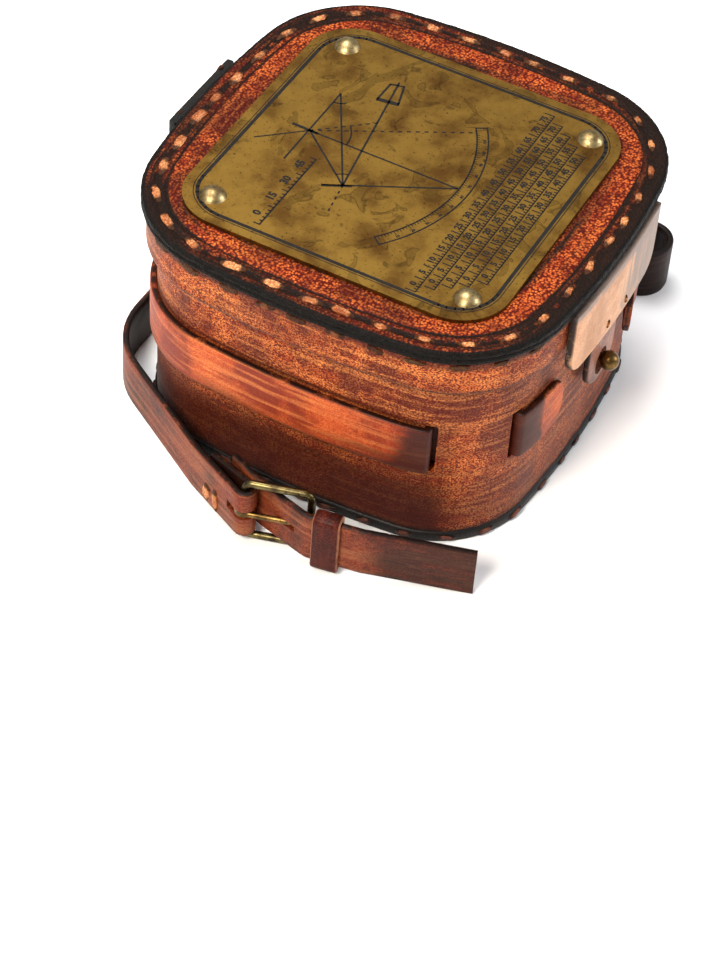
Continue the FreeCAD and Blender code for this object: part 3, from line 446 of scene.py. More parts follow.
def add_loop(bm, points):
    """A closed loop of vertices from (position, along, around, wear, edge)."""
    layers = [bm.verts.layers.float[name] for name in ("along", "around", "wear", "edge")]
    made = []
    for point in points:
        vert = bm.verts.new(point[0])
        for layer, value in zip(layers, point[1:]):
            vert[layer] = value
        made.append(vert)
    return [bm.edges.new((a, b)) for a, b in zip(made, made[1:] + made[:1])]


def skin(bm, loops, joined=False):
    """Bridge one loop to the next, then close the two ends or join them."""
    edges = [add_loop(bm, points) for points in loops]
    for here, there in zip(edges, edges[1:]):
        bmesh.ops.bridge_loops(bm, edges=here + there)
    if joined:
        bmesh.ops.bridge_loops(bm, edges=edges[-1] + edges[0])
    else:
        bmesh.ops.contextual_create(bm, geom=edges[0])
        bmesh.ops.contextual_create(bm, geom=edges[-1])


def map_leather(bm, along_length, around_length):
    """Turn the along and around values into a UV map in millimetres, without a wrap inside a face."""
    uv = bm.loops.layers.uv.new("leather")
    along = bm.verts.layers.float["along"]
    around = bm.verts.layers.float["around"]
    for face in bm.faces:
        top_u = max(corner.vert[along] for corner in face.loops)
        top_v = max(corner.vert[around] for corner in face.loops)
        for corner in face.loops:
            u, v = corner.vert[along], corner.vert[around]
            if along_length and top_u - u > along_length / 2:
                u += along_length
            if around_length and top_v - v > around_length / 2:
                v += around_length
            corner[uv].uv = (u, v)


def finish_piece(name, bm, body, replaced, material, lengths=(0, 0), sharp=50.0):
    """Put the finished mesh in the scene, on its body, in metres."""
    map_leather(bm, *lengths)
    bmesh.ops.scale(bm, vec=(MM, MM, MM), verts=bm.verts)
    bmesh.ops.recalc_face_normals(bm, faces=bm.faces)
    mesh = bpy.data.meshes.new(name)
    bm.to_mesh(mesh)
    bm.free()
    for polygon in mesh.polygons:
        polygon.use_smooth = True
    mesh.set_sharp_from_angle(angle=math.radians(sharp))
    mesh.materials.append(material)
    obj = bpy.data.objects.new(name, mesh)
    bpy.context.scene.collection.objects.link(obj)
    if body:
        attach(obj, body)
    if replaced:
        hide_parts(*replaced)
    return obj


def pierce(obj, cutters):
    """Cut bars out of a piece: each cutter is (matrix in millimetres, size, number of sides)."""
    bm = bmesh.new()
    for matrix, size, sides in cutters:
        if sides == 4:
            bar = bmesh.ops.create_cube(bm, size=1.0)["verts"]
        else:
            bar = bmesh.ops.create_cone(
                bm, cap_ends=True, segments=sides, radius1=0.5, radius2=0.5, depth=1.0)["verts"]
        bmesh.ops.scale(bm, vec=size, verts=bar)
        bmesh.ops.transform(bm, matrix=matrix, verts=bar)
    bmesh.ops.scale(bm, vec=(MM, MM, MM), verts=bm.verts)
    mesh = bpy.data.meshes.new("cutter")
    bm.to_mesh(mesh)
    bm.free()
    tool = bpy.data.objects.new("cutter", mesh)
    bpy.context.scene.collection.objects.link(tool)
    cutting = obj.modifiers.new("cut", "BOOLEAN")
    cutting.operation = "DIFFERENCE"
    cutting.solver = "EXACT"
    cutting.object = tool
    depsgraph = bpy.context.evaluated_depsgraph_get()
    made = bpy.data.meshes.new_from_object(obj.evaluated_get(depsgraph))
    obj.modifiers.remove(cutting)
    made.name = obj.data.name + "_cut"
    obj.data = made
    bpy.data.objects.remove(tool)


def ring(offset, z, wear=0.0, edge=0.0, around=0.0, turns=RING_TURNS):
    """A closed loop round the outline; offset, z, wear and edge may depend on the turn."""
    points = []
    for number, turn in enumerate(turns):
        values = [value(turn) if callable(value) else value for value in (offset, z, wear, edge)]
        spot = outline(turn, values[0])
        along = RING_LENGTH * number / len(turns)
        points.append((Vector((spot.x, spot.y, values[1])), along, around, values[2], values[3]))
    return points


def rounded_ring(profile):
    """Loops for a closed profile of (offset, z, wear, edge), in order."""
    around = 0.0
    loops = []
    for number, (offset, z, wear, edge) in enumerate(profile):
        if number:
            around += math.hypot(offset - profile[number - 1][0], z - profile[number - 1][1])
        loops.append(ring(offset, z, wear, edge, around))
    return loops


# base, wall and lid

def base_panel():
    """The base is cut from sole leather and blackened round its edge."""
    # a ring that lies level with the one before can be bridged with a twist, so the last rings each
    # step up by a hair
    profile = [(-30.0, 0.25, 0.5, 0.0), (-8.0, 0.15, 0.6, 0.0), (-1.0, 0.0, 0.8, 0.0), (0.3, 0.25, 1.0, 0.6),
               (BASE_LIP, 0.8, 1.0, 1.0), (BASE_LIP, 3.1, 1.0, 1.0), (0.35, 3.7, 1.0, 1.0),
               (-0.1, 3.95, 1.0, 1.0), (-2.9, BASE_TOP - 0.02, 0.8, 0.0), (-12.0, BASE_TOP - 0.01, 0.3, 0.0),
               (-22.0, BASE_TOP, 0.1, 0.0)]
    bm = start_mesh()
    skin(bm, rounded_ring(profile))
    finish_piece("base_leather", bm, "case", ["base_panel"], SOLE_LEATHER, (RING_LENGTH, 0))


def wall_wear(turn, z):
    """The wall is darker towards the base; darker beside the slots, partly rubbed and partly painted shade;
    painted shadow beside the flap and under the lid's skirt, and a painted shadow line above the strap."""
    low = smooth((46.0 - z) / 44.0) * 1.15
    front = smooth((turn - 198.0) / 22.0) * smooth((345.0 - turn) / 30.0)
    level = smooth((z - BAND_LOW + 7) / 6) * smooth((BAND_TOP + 5 - z) / 6)
    near = 0.0
    # darker beside each slot at the strap's height: partly a rubbed mark, partly painted shade
    for slot in SLOT_TURNS:
        away = (outline(turn) - outline(slot)).length
        near = max(near, 0.5 * smooth(1 - away / 19.0) * level)
    # painted shadow on the wall to the left of the flap
    flap_side = (outline(turn) - outline(FRONT_TURN - 6.0)).length
    beside = 0.5 * smooth(1 - flap_side / 16.0) * smooth((z - 34.0) / 14)
    # painted shadow on the wall under the skirt's lower edge
    under = 0.75 * smooth(1 - abs(z - SKIRT_LOW + 1.0) / 2.6)
    # a painted shadow line on the wall along the strap's upper edge
    covered = turn < SLOT_TURNS[0] or turn > SLOT_TURNS[3]
    grime = 0.8 * smooth(1 - abs(z - BAND_TOP - 0.8) / 1.8) if covered else 0.0
    return 0.1 + max(low * (1 - 0.6 * front), near, beside, grime) + under


def wall_bulge(turn, z):
    """The wall wavers by a fifth of a millimetre and swells beside each slot, where the strap presses."""
    spot = outline(turn)
    lip = 0.0
    for slot in SLOT_TURNS:
        away = (spot - outline(slot)).length
        if BAND_LOW - 3 < z < BAND_TOP + 3:
            lip = max(lip, 0.22 * math.exp(-((away - 2.6) / 1.2) ** 2))
    return waver(spot.x, spot.y, z, 30.0, 0.2) * smooth((z - BASE_TOP) / 8) * smooth((62.0 - z) / 6) + lip


def wall_cutters():
    """The four slots for the strap, each shifted to the side on which the strap leaves, and the
    hole for the stud."""
    cutters = []
    for turn, open_side in zip(SLOT_TURNS, (1, -1, 1, -1)):
        spot = outline(turn, -WALL / 2)
        middle = Matrix.Translation((spot.x, spot.y, BAND_LOW + STRAP_WIDTH / 2))
        turned = Matrix.Rotation(math.radians(turn), 4, "Z")
        shift = Matrix.Translation((0, SLOT_SHIFT * open_side, 0))
        cutters.append((middle @ turned @ shift, SLOT_SIZE, 4))
    cutters.append((Matrix.Translation((FLAP_X, -60.5, STUD_HEIGHT)), (2.95, 9.0, 2.95), 4))
    return cutters


def case_wall():
    """One strip of saddle leather round the case, its foot and its top edge darkened."""
    bm = start_mesh()
    heights = [BASE_TOP, 4.6, 6.0, 8.0] + [10.0 + 1.7 * step for step in range(37)] + [73.6, 74.2]
    loops = []
    for z in heights:
        top = 0.35 if z > 74 else 0.05 if z > 73.5 else 0.0
        seam = smooth(1 - (z - BASE_TOP) / 1.6)
        loops.append(ring(lambda turn: wall_bulge(turn, z) - top, z, lambda turn: wall_wear(turn, z),
                          max(seam, smooth((z - 73.0) / 0.8)), z))
    for inset in (0.8, 2.2):
        loops.append(ring(-inset, WALL_TOP, 0.6, 1.0, WALL_TOP))
    for z in (74.1, 60.0, 40.0, 20.0, BASE_TOP):
        loops.append(ring(-WALL, z, 0.55, 0.0, 2 * WALL_TOP - z))
    skin(bm, loops, joined=True)
    obj = finish_piece(
        "wall_leather", bm, "case", ["case_wall"], BODY_LEATHER, (RING_LENGTH, 0))
    pierce(obj, wall_cutters())


def lid_skirt():
    """The band under the lid, with painted shade where the lid hangs over it, and darker at its foot: partly
    the rubbed cut edge, partly painted shade.
    """
    bm = start_mesh()
    profile = [(SKIRT_INNER, 75.6, 0.4, 0.0), (SKIRT_INNER, 69.0, 0.4, 0.0), (SKIRT_INNER, 63.5, 0.5, 0.4),
               (1.2, SKIRT_LOW, 0.8, 1.0), (2.9, SKIRT_LOW, 0.8, 1.0), (3.35, 63.2, 0.8, 0.8),
               (SKIRT_OUTER, 63.7, 0.55, 0.15)]
    loops = rounded_ring(profile)
    for z in (64.6, 66.0, 67.5, 69.0, 70.5, 72.0, 73.2, 74.2, 75.0, 75.6):
        # painted shade under the lid's overhang; at the foot partly a rubbed edge, partly painted shade
        dark = 0.1 + 0.75 * smooth((z - 70.5) / 4.0) + 0.5 * smooth(1 - (z - 63.5) / 2)
        loops.append(ring(lambda turn: SKIRT_OUTER - 0.05 + waver(*outline(turn)[:2], z, 22.0, 0.12), z,
                          dark, 0.0, z - 55.0))
    skin(bm, loops, joined=True)
    finish_piece("skirt_leather", bm, "lid", ["lid_skirt"], BODY_LEATHER, (RING_LENGTH, 0))


TOP_LACE = 0.5
TOP_STITCHES = lace_turns(TOP_LACE)


def stitch_holes():
    """The two holes of each stitch on top of the lid, with the lace's direction there."""
    half_span = 4.6
    holes = []
    for turn in TOP_STITCHES:
        here = outline(turn, TOP_LACE)
        ahead = along_outline(turn)
        holes += [(here + ahead * half_span, ahead), (here - ahead * half_span, ahead)]
    return holes


TOP_HOLES = stitch_holes()


def hole_dark(turn, offset):
    """Painted shade in and round each hole of the lace on top of the lid."""
    if abs(offset - TOP_LACE) >= 2.5:
        return 0.0
    spot = outline(turn, offset)
    dark = 0.0
    for hole, ahead in TOP_HOLES:
        away = spot - hole
        if abs(away.x) + abs(away.y) < 5.0:
            run = away.dot(ahead)
            reach = math.hypot(run / 1.9, (away - ahead * run).length / 1.1)
            # painted shade in the hole where the lace goes in
            dark = max(dark, 1.2 * smooth(1.5 - reach))
    return dark


def rim_dark(turn, offset):
    """Burnished black at the rim, widest along the front and the right-hand side; painted shade at each hole
    and in the fold inside the lace; round the plate partly burnish and partly painted shadow; and dark at
    the rear corner on -X."""
    front = smooth(1 - abs((turn - 305.0 + 180.0) % 360.0 - 180.0) / 80.0)
    wide = 1.4 + 5.6 * front
    depth = RIM - offset
    band = 1.3 * smooth((wide - depth) / 1.6 + 0.5)
    corner = 0.45 * smooth(1 - abs(turn - 140.0) / 38.0)
    welt = 0.2 + corner + 0.5 * smooth((8.0 - depth) / 1.2)
    # painted shade in the groove of the seam inside the lace
    fold = 1.1 * math.exp(-((depth - 7.5) / 0.6) ** 2)
    # round the plate: partly burnish, partly the plate's painted shadow
    plate = 0.7 * smooth(1 - abs(depth - 15.5) / 4.0)
    return max(band, welt, fold, hole_dark(turn, offset), plate)


def ragged(inset, seed):
    """The trimmed edge of the lid: never outside the rim, nicked a little, other nicks for each seed."""
    def offset(turn):
        spot = outline(turn)
        return RIM - inset - abs(waver(spot.x, spot.y, 3.0 * seed, 2.6, 0.5))
    return offset


def lid_panel():
    """Two layers of leather pressed over the lid, with a groove where the lace runs and a seam inside it."""
    bm = start_mesh()
    low, high = LID_UNDER, LID_TOP
    below = [(-20.0, low, 0.3, 0.0, -30.0), (3.4, low, 0.6, 0.0, -4.0), (RIM - 0.4, low, 1.3, 1.0, -3.0)]
    trimmed = [(0.05, 1.0, low + 0.5, -2.4), (0.0, 2.0, low + 1.3, -1.6), (0.35, 3.0, low + 1.9, -1.0),
               (0.0, 4.0, low + 2.4, -0.5), (0.0, 5.0, low + 3.1, 0.1), (0.12, 6.0, high - 0.55, 0.6),
               (0.3, 6.5, high - 0.25, 0.9)]
    loops = [ring(*values, turns=FINE_TURNS) for values in below]
    for inset, seed, z, around in trimmed:
        loops.append(ring(ragged(inset, seed), z, 1.3, 1.0, around, turns=FINE_TURNS))
    offsets = [RIM - 0.5, RIM - 0.9, RIM - 1.4, 3.2, 2.6, 2.0, 1.5, 1.0, 0.5, 0.0, -0.6, -1.2, -1.7, -2.1,
               -2.5, -2.9, -3.6, -4.8, -6.2, -7.6, -9.0, -11.0, -14.0, -20.0, -30.0]
    for offset in offsets:
        groove = -0.35 * math.exp(-((offset - TOP_LACE) / 1.0) ** 2)
        seam = -0.3 * math.exp(-((offset + 2.4) / 0.6) ** 2)
        rim_fall = -0.12 if offset > RIM - 0.6 else 0.0

        def height(turn):
            spot = outline(turn, offset)
            return LID_TOP + groove + seam + rim_fall + waver(spot.x, spot.y, 5.0, 7.0, 0.1) - 0.06

        edge = 1.0 if offset > RIM - 1.0 else 0.0
        loops.append(ring(offset, height, lambda turn: rim_dark(turn, offset), edge, 1.0 + RIM - offset,
                          turns=FINE_TURNS))
    skin(bm, loops)
    finish_piece("lid_leather", bm, "lid", ["lid_panel"], LID_LEATHER, (RING_LENGTH, 0))


base_panel()
case_wall()
lid_skirt()
lid_panel()


# lacing

# section of a lace, as shares of its width and thickness
LACE_SECTION = (
    (-0.5, -0.4), (-0.5, 0.1), (-0.38, 0.42), (-0.12, 0.5),
    (0.12, 0.5), (0.38, 0.42), (0.5, 0.1), (0.5, -0.4))


def stitch_loops(centre, ahead, out, length, width, tone):
    """One flat stitch that comes out of the leather, arches a little and goes back in, crumpled, with
    painted shade at its ends where it goes into the leather."""
    side = ahead.cross(out)
    sink = 0.5
    steps = 9
    loops = []
    for step in range(steps):
        share = step / (steps - 1)
        away = (share - 0.5) * length
        arch = 1 - abs(2 * share - 1) ** 5
        lift = -sink + (LACE_THICK * 0.9 + sink) * arch
        narrow = 0.5 + 0.5 * math.sin(math.pi * share)
        middle = centre + ahead * away + out * (lift - LACE_THICK * 0.45)
        # painted shade at both ends, where the lace goes into the leather
        worn = tone + 1.2 * smooth((abs(2 * share - 1) - 0.35) / 0.4)
        loop = []
        for a, b in LACE_SECTION:
            crumple = waver(middle.x + 2 * a, middle.y + 2 * a, middle.z + b, 1.2, 0.5)
            point = middle + side * (a * width * narrow + crumple)
            point += out * (b * LACE_THICK - 0.3 * abs(crumple))
            loop.append((point, away, a * width, worn, 0.0))
        loops.append(loop)
    return loops


def lacing(name, node, stitches, body, length=7.0, width=2.0, material=LACE, rim_shade=0.0):
    """All stitches of one seam: each is (centre, ahead, out). The last argument darkens them with painted
    shade, for the seam under the lid's rim. They are larger and paler on the broad side, larger still
    towards the back, and no two are alike."""
    bm = start_mesh()
    chance = random.Random(len(name))
    for centre, ahead, out in stitches:
        stout = 1.25 if centre.x - centre.y < -40 else 0.95
        back = smooth((centre.y + 10) / 40)
        long = length * chance.uniform(0.75, 1.08) * (stout + 1) / 2 * (1 + 0.25 * back)
        wide = width * chance.uniform(0.75, 1.1) * stout * (1 + 0.2 * back)
        sway = Matrix.Rotation(math.radians(chance.uniform(-14, 14)), 3, out)
        nudge = out.cross(ahead) * chance.uniform(-0.35, 0.35) + ahead * chance.uniform(-0.4, 0.4)
        # the first term is painted shade, given for the seam under the rim; smaller stitches are darker
        tone = rim_shade + chance.uniform(0.0, 0.5) + 0.4 * (1.25 - stout)
        skin(bm, stitch_loops(centre + nudge, sway @ ahead, out, long, wide, tone))
    finish_piece(name, bm, body, [node], material)


def outline_stitches(turns, offset, z, upright):
    """Stitches along the outline, on an upright face or on a level one."""
    made = []
    for turn in turns:
        spot = outline(turn, offset)
        out = facing(turn) if upright else UP
        made.append((Vector((spot.x, spot.y, z)), along_outline(turn), out))
    return made


def turn_reach(distance):
    """Degrees of turn that this distance takes from the middle of a side."""
    return math.degrees(math.asin(distance / SIDE_RADIUS))


def clear_of(turn, middle, width):
    """Whether a stitch at a turn stays clear of a piece of this width at the middle of a side."""
    half_stitch, clearance = 3.5, 2.4
    reach = turn_reach(width / 2 + half_stitch + clearance)
    return abs((turn - middle + 180.0) % 360.0 - 180.0) > reach


def seams():
    """The lid's two seams, of which the lower one stops at the flap and at the hinge, and the base's."""
    top = outline_stitches(TOP_STITCHES, TOP_LACE, LID_TOP - 0.3, False)
    lacing("lid_lace", "lid_top_lacing", top, "lid", length=7.2, width=1.9)
    turns = [turn for turn in lace_turns(SKIRT_OUTER)
             if clear_of(turn, FRONT_TURN, FLAP_WIDTH + 3.0) and clear_of(turn, BACK_TURN, HINGE_WIDTH)]
    side = outline_stitches(turns, SKIRT_OUTER, 73.5, True)
    # these stitches sit under the rim's overhang and take painted shade
    lacing("skirt_lace", "lid_side_lacing", side, "lid", length=6.8, width=1.7, rim_shade=0.7)
    foot = outline_stitches(lace_turns(BASE_LIP), BASE_LIP, BASE_TOP / 2, True)
    lacing("base_lace", "base_lacing", foot, "case", width=1.8, material=BASE_LACE)


seams()


# flat leather swept along a path

def cross_section(width, thick):
    """Points (across, through, edge) round a strap's section, its outer face first."""
    rounding = 0.55
    columns = 8
    crown = 0.12
    half_w, half_t = width / 2, thick / 2
    bevel_w, bevel_t = half_w - rounding * 0.3, half_t - rounding * 0.3
    points = []
    for step in range(columns + 1):
        a = -half_w + rounding + (width - 2 * rounding) * step / columns
        rise = crown * (1 - (2 * a / width) ** 2)
        points.append((a, half_t - 0.04 + rise * 0.3, 0.0))
    points += [(bevel_w, bevel_t, 0.7), (half_w, half_t - rounding, 1.0),
               (half_w, -half_t + rounding, 1.0), (bevel_w, -bevel_t, 0.7)]
    for step in range(columns + 1):
        a = half_w - rounding - (width - 2 * rounding) * step / columns
        points.append((a, -half_t, 0.0))
    points += [(-bevel_w, -bevel_t, 0.7), (-half_w, -half_t + rounding, 1.0),
               (-half_w, half_t - rounding, 1.0), (-bevel_w, bevel_t, 0.7)]
    return points


def path_frames(centres, wide):
    """Mitred normals for a path, square to the strap's wide direction."""
    frames = []
    for number, centre in enumerate(centres):
        before = centres[max(number - 1, 0)]
        after = centres[min(number + 1, len(centres) - 1)]
        arrive = centre - before if number else after - centre
        leave = after - centre if number < len(centres) - 1 else arrive
        arrive = (arrive - wide * arrive.dot(wide)).normalized()
        leave = (leave - wide * leave.dot(wide)).normalized()
        along = (arrive + leave).normalized()
        frames.append(wide.cross(along) / max(0.5, along.dot(arrive)))
    return frames


def swept(bm, centres, wide, width=STRAP_WIDTH, thick=STRAP_THICK, wear=None, widths=None, shape=None,
          flip=False, flesh=0.35):
    """Sweep a strap section along a path. wide is the direction across the strap, the wear function gives
    the darkening at a distance along it, real rubbing and painted shade alike, shape moves a point, and
    flesh darkens the rough side further."""
    frames = path_frames(centres, wide)
    loops = []
    along = 0.0
    for number, centre in enumerate(centres):
        if number:
            along += (centre - centres[number - 1]).length
        here_width = widths[number] if widths else width
        normal = frames[number] * (-1 if flip else 1)
        worn = wear(number, along) if wear else 0.0
        loop = []
        around = 0.0
        last = None
        for a, b, edge in cross_section(here_width, thick):
            if last is not None:
                around += math.hypot(a - last[0], b - last[1])
            last = (a, b)
            point = centre + wide * a + normal * b
            if shape:
                point = shape(point)
            loop.append((point, along, around, worn + (flesh if b < 0 else 0.0), edge))
        loops.append(loop)
    skin(bm, loops)
    return 2 * (width + thick)


def round_end(away, radius):
    """How much a strap with a round end is narrower on each side, this far from its tip."""
    if away >= radius:
        return 0.0
    return radius - math.sqrt(max(0.0, radius ** 2 - (radius - away) ** 2))


def round_corners(half_x, half_y, radius, steps):
    """Points round a rectangle with round corners, each with the direction that it faces."""
    made = []
    for side_x, side_y, first in ((1, 1, 0), (-1, 1, 90), (-1, -1, 180), (1, -1, 270)):
        for step in range(steps + 1):
            angle = math.radians(first + 90.0 / steps * step)
            face_x, face_y = math.cos(angle), math.sin(angle)
            made.append((side_x * (half_x - radius) + radius * face_x,
                         side_y * (half_y - radius) + radius * face_y, face_x, face_y))
    return made


def rounded_route(points, step_angle=8.0):
    """Stations along (x, y, low, radius) with round bends, as the case's own pattern has them."""
    made = []
    for number, (x, y, low, radius) in enumerate(points):
        here = Vector((x, y, 0))
        if number in (0, len(points) - 1) or not radius:
            made.append(Vector((x, y, low)))
            continue
        back = (Vector((*points[number - 1][:2], 0)) - here).normalized()
        ahead = (Vector((*points[number + 1][:2], 0)) - here).normalized()
        opening = back.angle(ahead)
        reach = radius / math.tan(opening / 2)
        centre = here + (back + ahead).normalized() * (radius / math.sin(opening / 2))
        first = here + back * reach - centre
        swing = math.pi - opening
        turn = math.copysign(1, back.cross(first).z)
        steps = max(1, math.ceil(math.degrees(swing) / step_angle))
        for step in range(steps + 1):
            spoke = Matrix.Rotation(turn * swing * step / steps, 3, "Z") @ first
            spot = centre + spoke
            made.append(Vector((spot.x, spot.y, low)))
    return made


def evened(points, gap):
    """Add stations so that no stretch is longer than gap."""
    made = [points[0]]
    for here, there in zip(points, points[1:]):
        count = max(1, math.ceil((there - here).length / gap))
        for step in range(1, count + 1):
            made.append(here.lerp(there, step / count))
    return made


def shade(bm, amount):
    """Add darkening to each vertex by its place."""
    worn = bm.verts.layers.float["wear"]
    for vert in bm.verts:
        vert[worn] += amount(vert.co)


def along_wall(start, end, offset):
    """Route points round the wall from one turn to another."""
    count = max(2, math.ceil(abs(end - start) / 2.0))
    made = []
    for step in range(count + 1):
        spot = outline(start + (end - start) * step / count, offset)
        made.append((spot.x, spot.y, BAND_LOW, 0))
    return made


def band_route():
    """The threaded strap: tongue, slot, inside, slot, round the back, slot, inside, slot, tongue."""
    near_side, near_front = SLOT_TURNS[:2]
    far_front, far_side = [turn - 360.0 for turn in SLOT_TURNS[2:]]
    front = FRONT_TURN - 360.0
    bend = 0.9
    outer_gap, inner_gap = 4.0, 2.5
    tip = turn_reach(20.0)
    lifted = turn_reach(30.0)
    route = []

    def through(turn, first, second):
        for offset in (first, second):
            spot = outline(turn, offset)
            route.append((spot.x, spot.y, BAND_LOW, bend))

    route.extend(along_wall(FRONT_TURN - tip, near_front + outer_gap, OUTSIDE))
    through(near_front, OUTSIDE, INSIDE)
    route.extend(along_wall(near_front - inner_gap, near_side + inner_gap, INSIDE))
    through(near_side, INSIDE, OUTSIDE)
    route.extend(along_wall(near_side - outer_gap, far_side + outer_gap, OUTSIDE))
    through(far_side, OUTSIDE, INSIDE)
    route.extend(along_wall(far_side - inner_gap, far_front + inner_gap, INSIDE))
    through(far_front, INSIDE, OUTSIDE)
    route.extend(along_wall(far_front - outer_gap, front + lifted, OUTSIDE))
    spot = outline(front + tip, OUTSIDE + 3.0)
    route.append((spot.x, spot.y, BAND_LOW, 0))
    return rounded_route(route, 18.0)


def side_strap():
    """The strap threaded through the slots, rubbed dark where it bends, with painted shade along its lower edge
    and towards its end at the front-left corner.
    """
    bm = start_mesh()
    route = evened(band_route(), 2.2)
    slots = [outline(turn) for turn in SLOT_TURNS]

    def wear(number, along):
        spot = route[number]
        near = min(math.hypot(spot.x - slot.x, spot.y - slot.y) for slot in slots)
        return 0.05 + 0.85 * smooth(1.05 - near / 11.0)

    # painted shade: darker along the strap's lower half and towards its end near the front-left corner
    def grime(co):
        low = 0.5 * smooth((BAND_LOW + 8.0 - co.z) / 8.0)
        near_corner = 0.5 * smooth((0.0 - co.y) / 45.0) if co.x < -30 else 0.0
        return low + near_corner

    centres = [point + UP * (STRAP_WIDTH / 2) for point in route]
    total = sum((b - a).length for a, b in zip(centres, centres[1:]))
    walked = 0.0
    widths = []
    for number, centre in enumerate(centres):
        if number:
            walked += (centre - centres[number - 1]).length
        widths.append(STRAP_WIDTH - 2 * round_end(min(walked, total - walked), 4.5))
    around = swept(bm, centres, UP, wear=wear, widths=widths)
    shade(bm, grime)
    finish_piece("band_leather", bm, "case", ["side_strap"], STRAP_LEATHER, (0, around))


side_strap()


# carrying strap, buckle end

BUCKLE_LOW = 3.1
BUCKLE_MIDDLE = BUCKLE_LOW + STRAP_WIDTH / 2
BAR = Vector((-83.0, 4.0, 0))
FOLD_RADIUS = 2.5
FOLD_LENGTH = 18.0
RUN_LENGTH = 25.0
RUN_TURN = 24.0
FRAME_TURN = -16.6
KEEPER_TURN = -10.0
SPLICE_X, SPLICE_Y = 65.6, 25.0


def heading(angle):
    """Level direction that starts at -Y and turns towards -X, in degrees."""
    return Vector((-math.sin(math.radians(angle)), -math.cos(math.radians(angle)), 0))


def outward(direction):
    """Level direction square to this one, away from the case."""
    return Vector((direction.y, -direction.x, 0))


RUN_DIR = heading(RUN_TURN)
RUN_OUT = outward(RUN_DIR)
FRAME_DIR = heading(FRAME_TURN)
FRAME_OUT = outward(FRAME_DIR)
KEEPER_DIR = heading(KEEPER_TURN)
FAR_RAIL = BAR + FRAME_DIR * 19.3 + FRAME_OUT * 5.9


def run_point(back, offset):
    """Point of the strap's run, behind the buckle's bar and to one side of it."""
    return BAR - RUN_DIR * back + RUN_OUT * offset


def carry_strap():
    """The carrying strap, from its splice on +X round the foot of the case to its fold at the buckle."""
    bm = start_mesh()
    start = run_point(RUN_LENGTH, 0)
    fold = run_point(0, FOLD_RADIUS)
    foot_x, right_x, front_y, back_y = 70.0, 86.0, -56.0, 70.5
    route = rounded_route([
        (SPLICE_X, SPLICE_Y, BAND_LOW, 0), (SPLICE_X, 5.0, BAND_LOW, 40.0), (foot_x, -40.0, 0.0, 40.0),
        (foot_x, front_y, 0.0, 7.6), (right_x, front_y, 0.0, 7.6), (right_x, back_y, 0.0, 34.0),
        (-46.0, back_y, 0.0, 25.0), (start.x, start.y, 0.0, 18.0), (fold.x, fold.y, BUCKLE_LOW, 0)])
    route = evened(route, 3.0)
    for step in range(1, 13):
        angle = math.pi * step / 12
        spoke = RUN_OUT * math.cos(angle) + RUN_DIR * math.sin(angle)
        route.append(BAR + spoke * FOLD_RADIUS + UP * BUCKLE_LOW)
    share = 1 - FOLD_LENGTH / RUN_LENGTH
    end = run_point(FOLD_LENGTH, FOLD_RADIUS * share - STRAP_THICK - 0.3) + UP * (BUCKLE_LOW * share)
    route += evened([route[-1], end], 3.0)[1:]
    centres = [point + UP * (STRAP_WIDTH / 2) for point in route]

    def wear(number, along):
        """The end that is laced on by the flap is painted black: painted shade, where it lies in shadow."""
        spot = route[number]
        return 0.15 + 1.1 * smooth((spot.x - 60.0) / 4.0) * smooth((30.0 - spot.y) / 20.0)

    # the rough side is painted black: partly its own dark tone, partly painted shade on the inner face
    around = swept(bm, centres, UP, wear=wear, flip=True, flesh=1.0)
    obj = finish_piece(
        "carry_leather", bm, "case", ["carry_strap"], RUN_LEATHER, (0, around))
    turned = Matrix.Rotation(math.radians(-RUN_TURN), 4, "Z")
    reach = FOLD_RADIUS + STRAP_THICK
    place = Matrix.Translation((BAR.x, BAR.y, BUCKLE_MIDDLE)) @ turned
    pierce(obj, [(place, (2 * reach, 2 * reach, 3.0), 4)])


def billet():
    """The punched end that passes the buckle, with the slot for its prong."""
    bm = start_mesh()
    inner = run_point(0, -(FOLD_RADIUS + STRAP_THICK + 0.6))
    tip = inner - RUN_DIR * 12.0
    keeper_end = FAR_RAIL + KEEPER_DIR * 17.0
    tail = keeper_end + heading(-22.0) * 32.0
    bend = 8.0
    route = rounded_route([
        (tip.x, tip.y, BUCKLE_LOW, 0), (inner.x, inner.y, BUCKLE_LOW, bend),
        (FAR_RAIL.x, FAR_RAIL.y, BUCKLE_LOW, bend), (keeper_end.x, keeper_end.y, BUCKLE_LOW, bend),
        (tail.x, tail.y, 0.0, 0)])
    centres = [point + UP * (STRAP_WIDTH / 2) for point in evened(route, 1.5)]

    def wear(number, along):
        """The part beyond the keeper is darker: a painted shadow."""
        return 0.2 + 0.5 * smooth((along - 44.0) / 12.0)

    around = swept(bm, centres, UP, wear=wear, flip=True)
    obj = finish_piece(
        "billet_leather", bm, "case", ["strap_billet"], RUN_LEATHER, (0, around))
    slot_size = (3.6, 21.1, 2.1)
    turned = Matrix.Rotation(math.radians(180.0 - FRAME_TURN), 4, "Z")
    shift = Matrix.Translation((0.75, 10.5, 0))
    place = Matrix.Translation(BAR + FRAME_OUT * 2.2 + UP * BUCKLE_MIDDLE) @ turned @ shift
    pierce(obj, [(place, slot_size, 4)])


# section of the keeper's leather: (across the loop, through it, edge)
KEEPER_SECTION = (
    (-3.6, 0.8, 0), (-1.5, 0.85, 0), (1.5, 0.85, 0), (3.6, 0.8, 0), (4.0, 0.4, 1), (4.0, -0.6, 1),
    (3.7, -0.8, 1), (0.0, -0.8, 0), (-3.7, -0.8, 1), (-4.0, -0.6, 1), (-4.0, 0.4, 1))


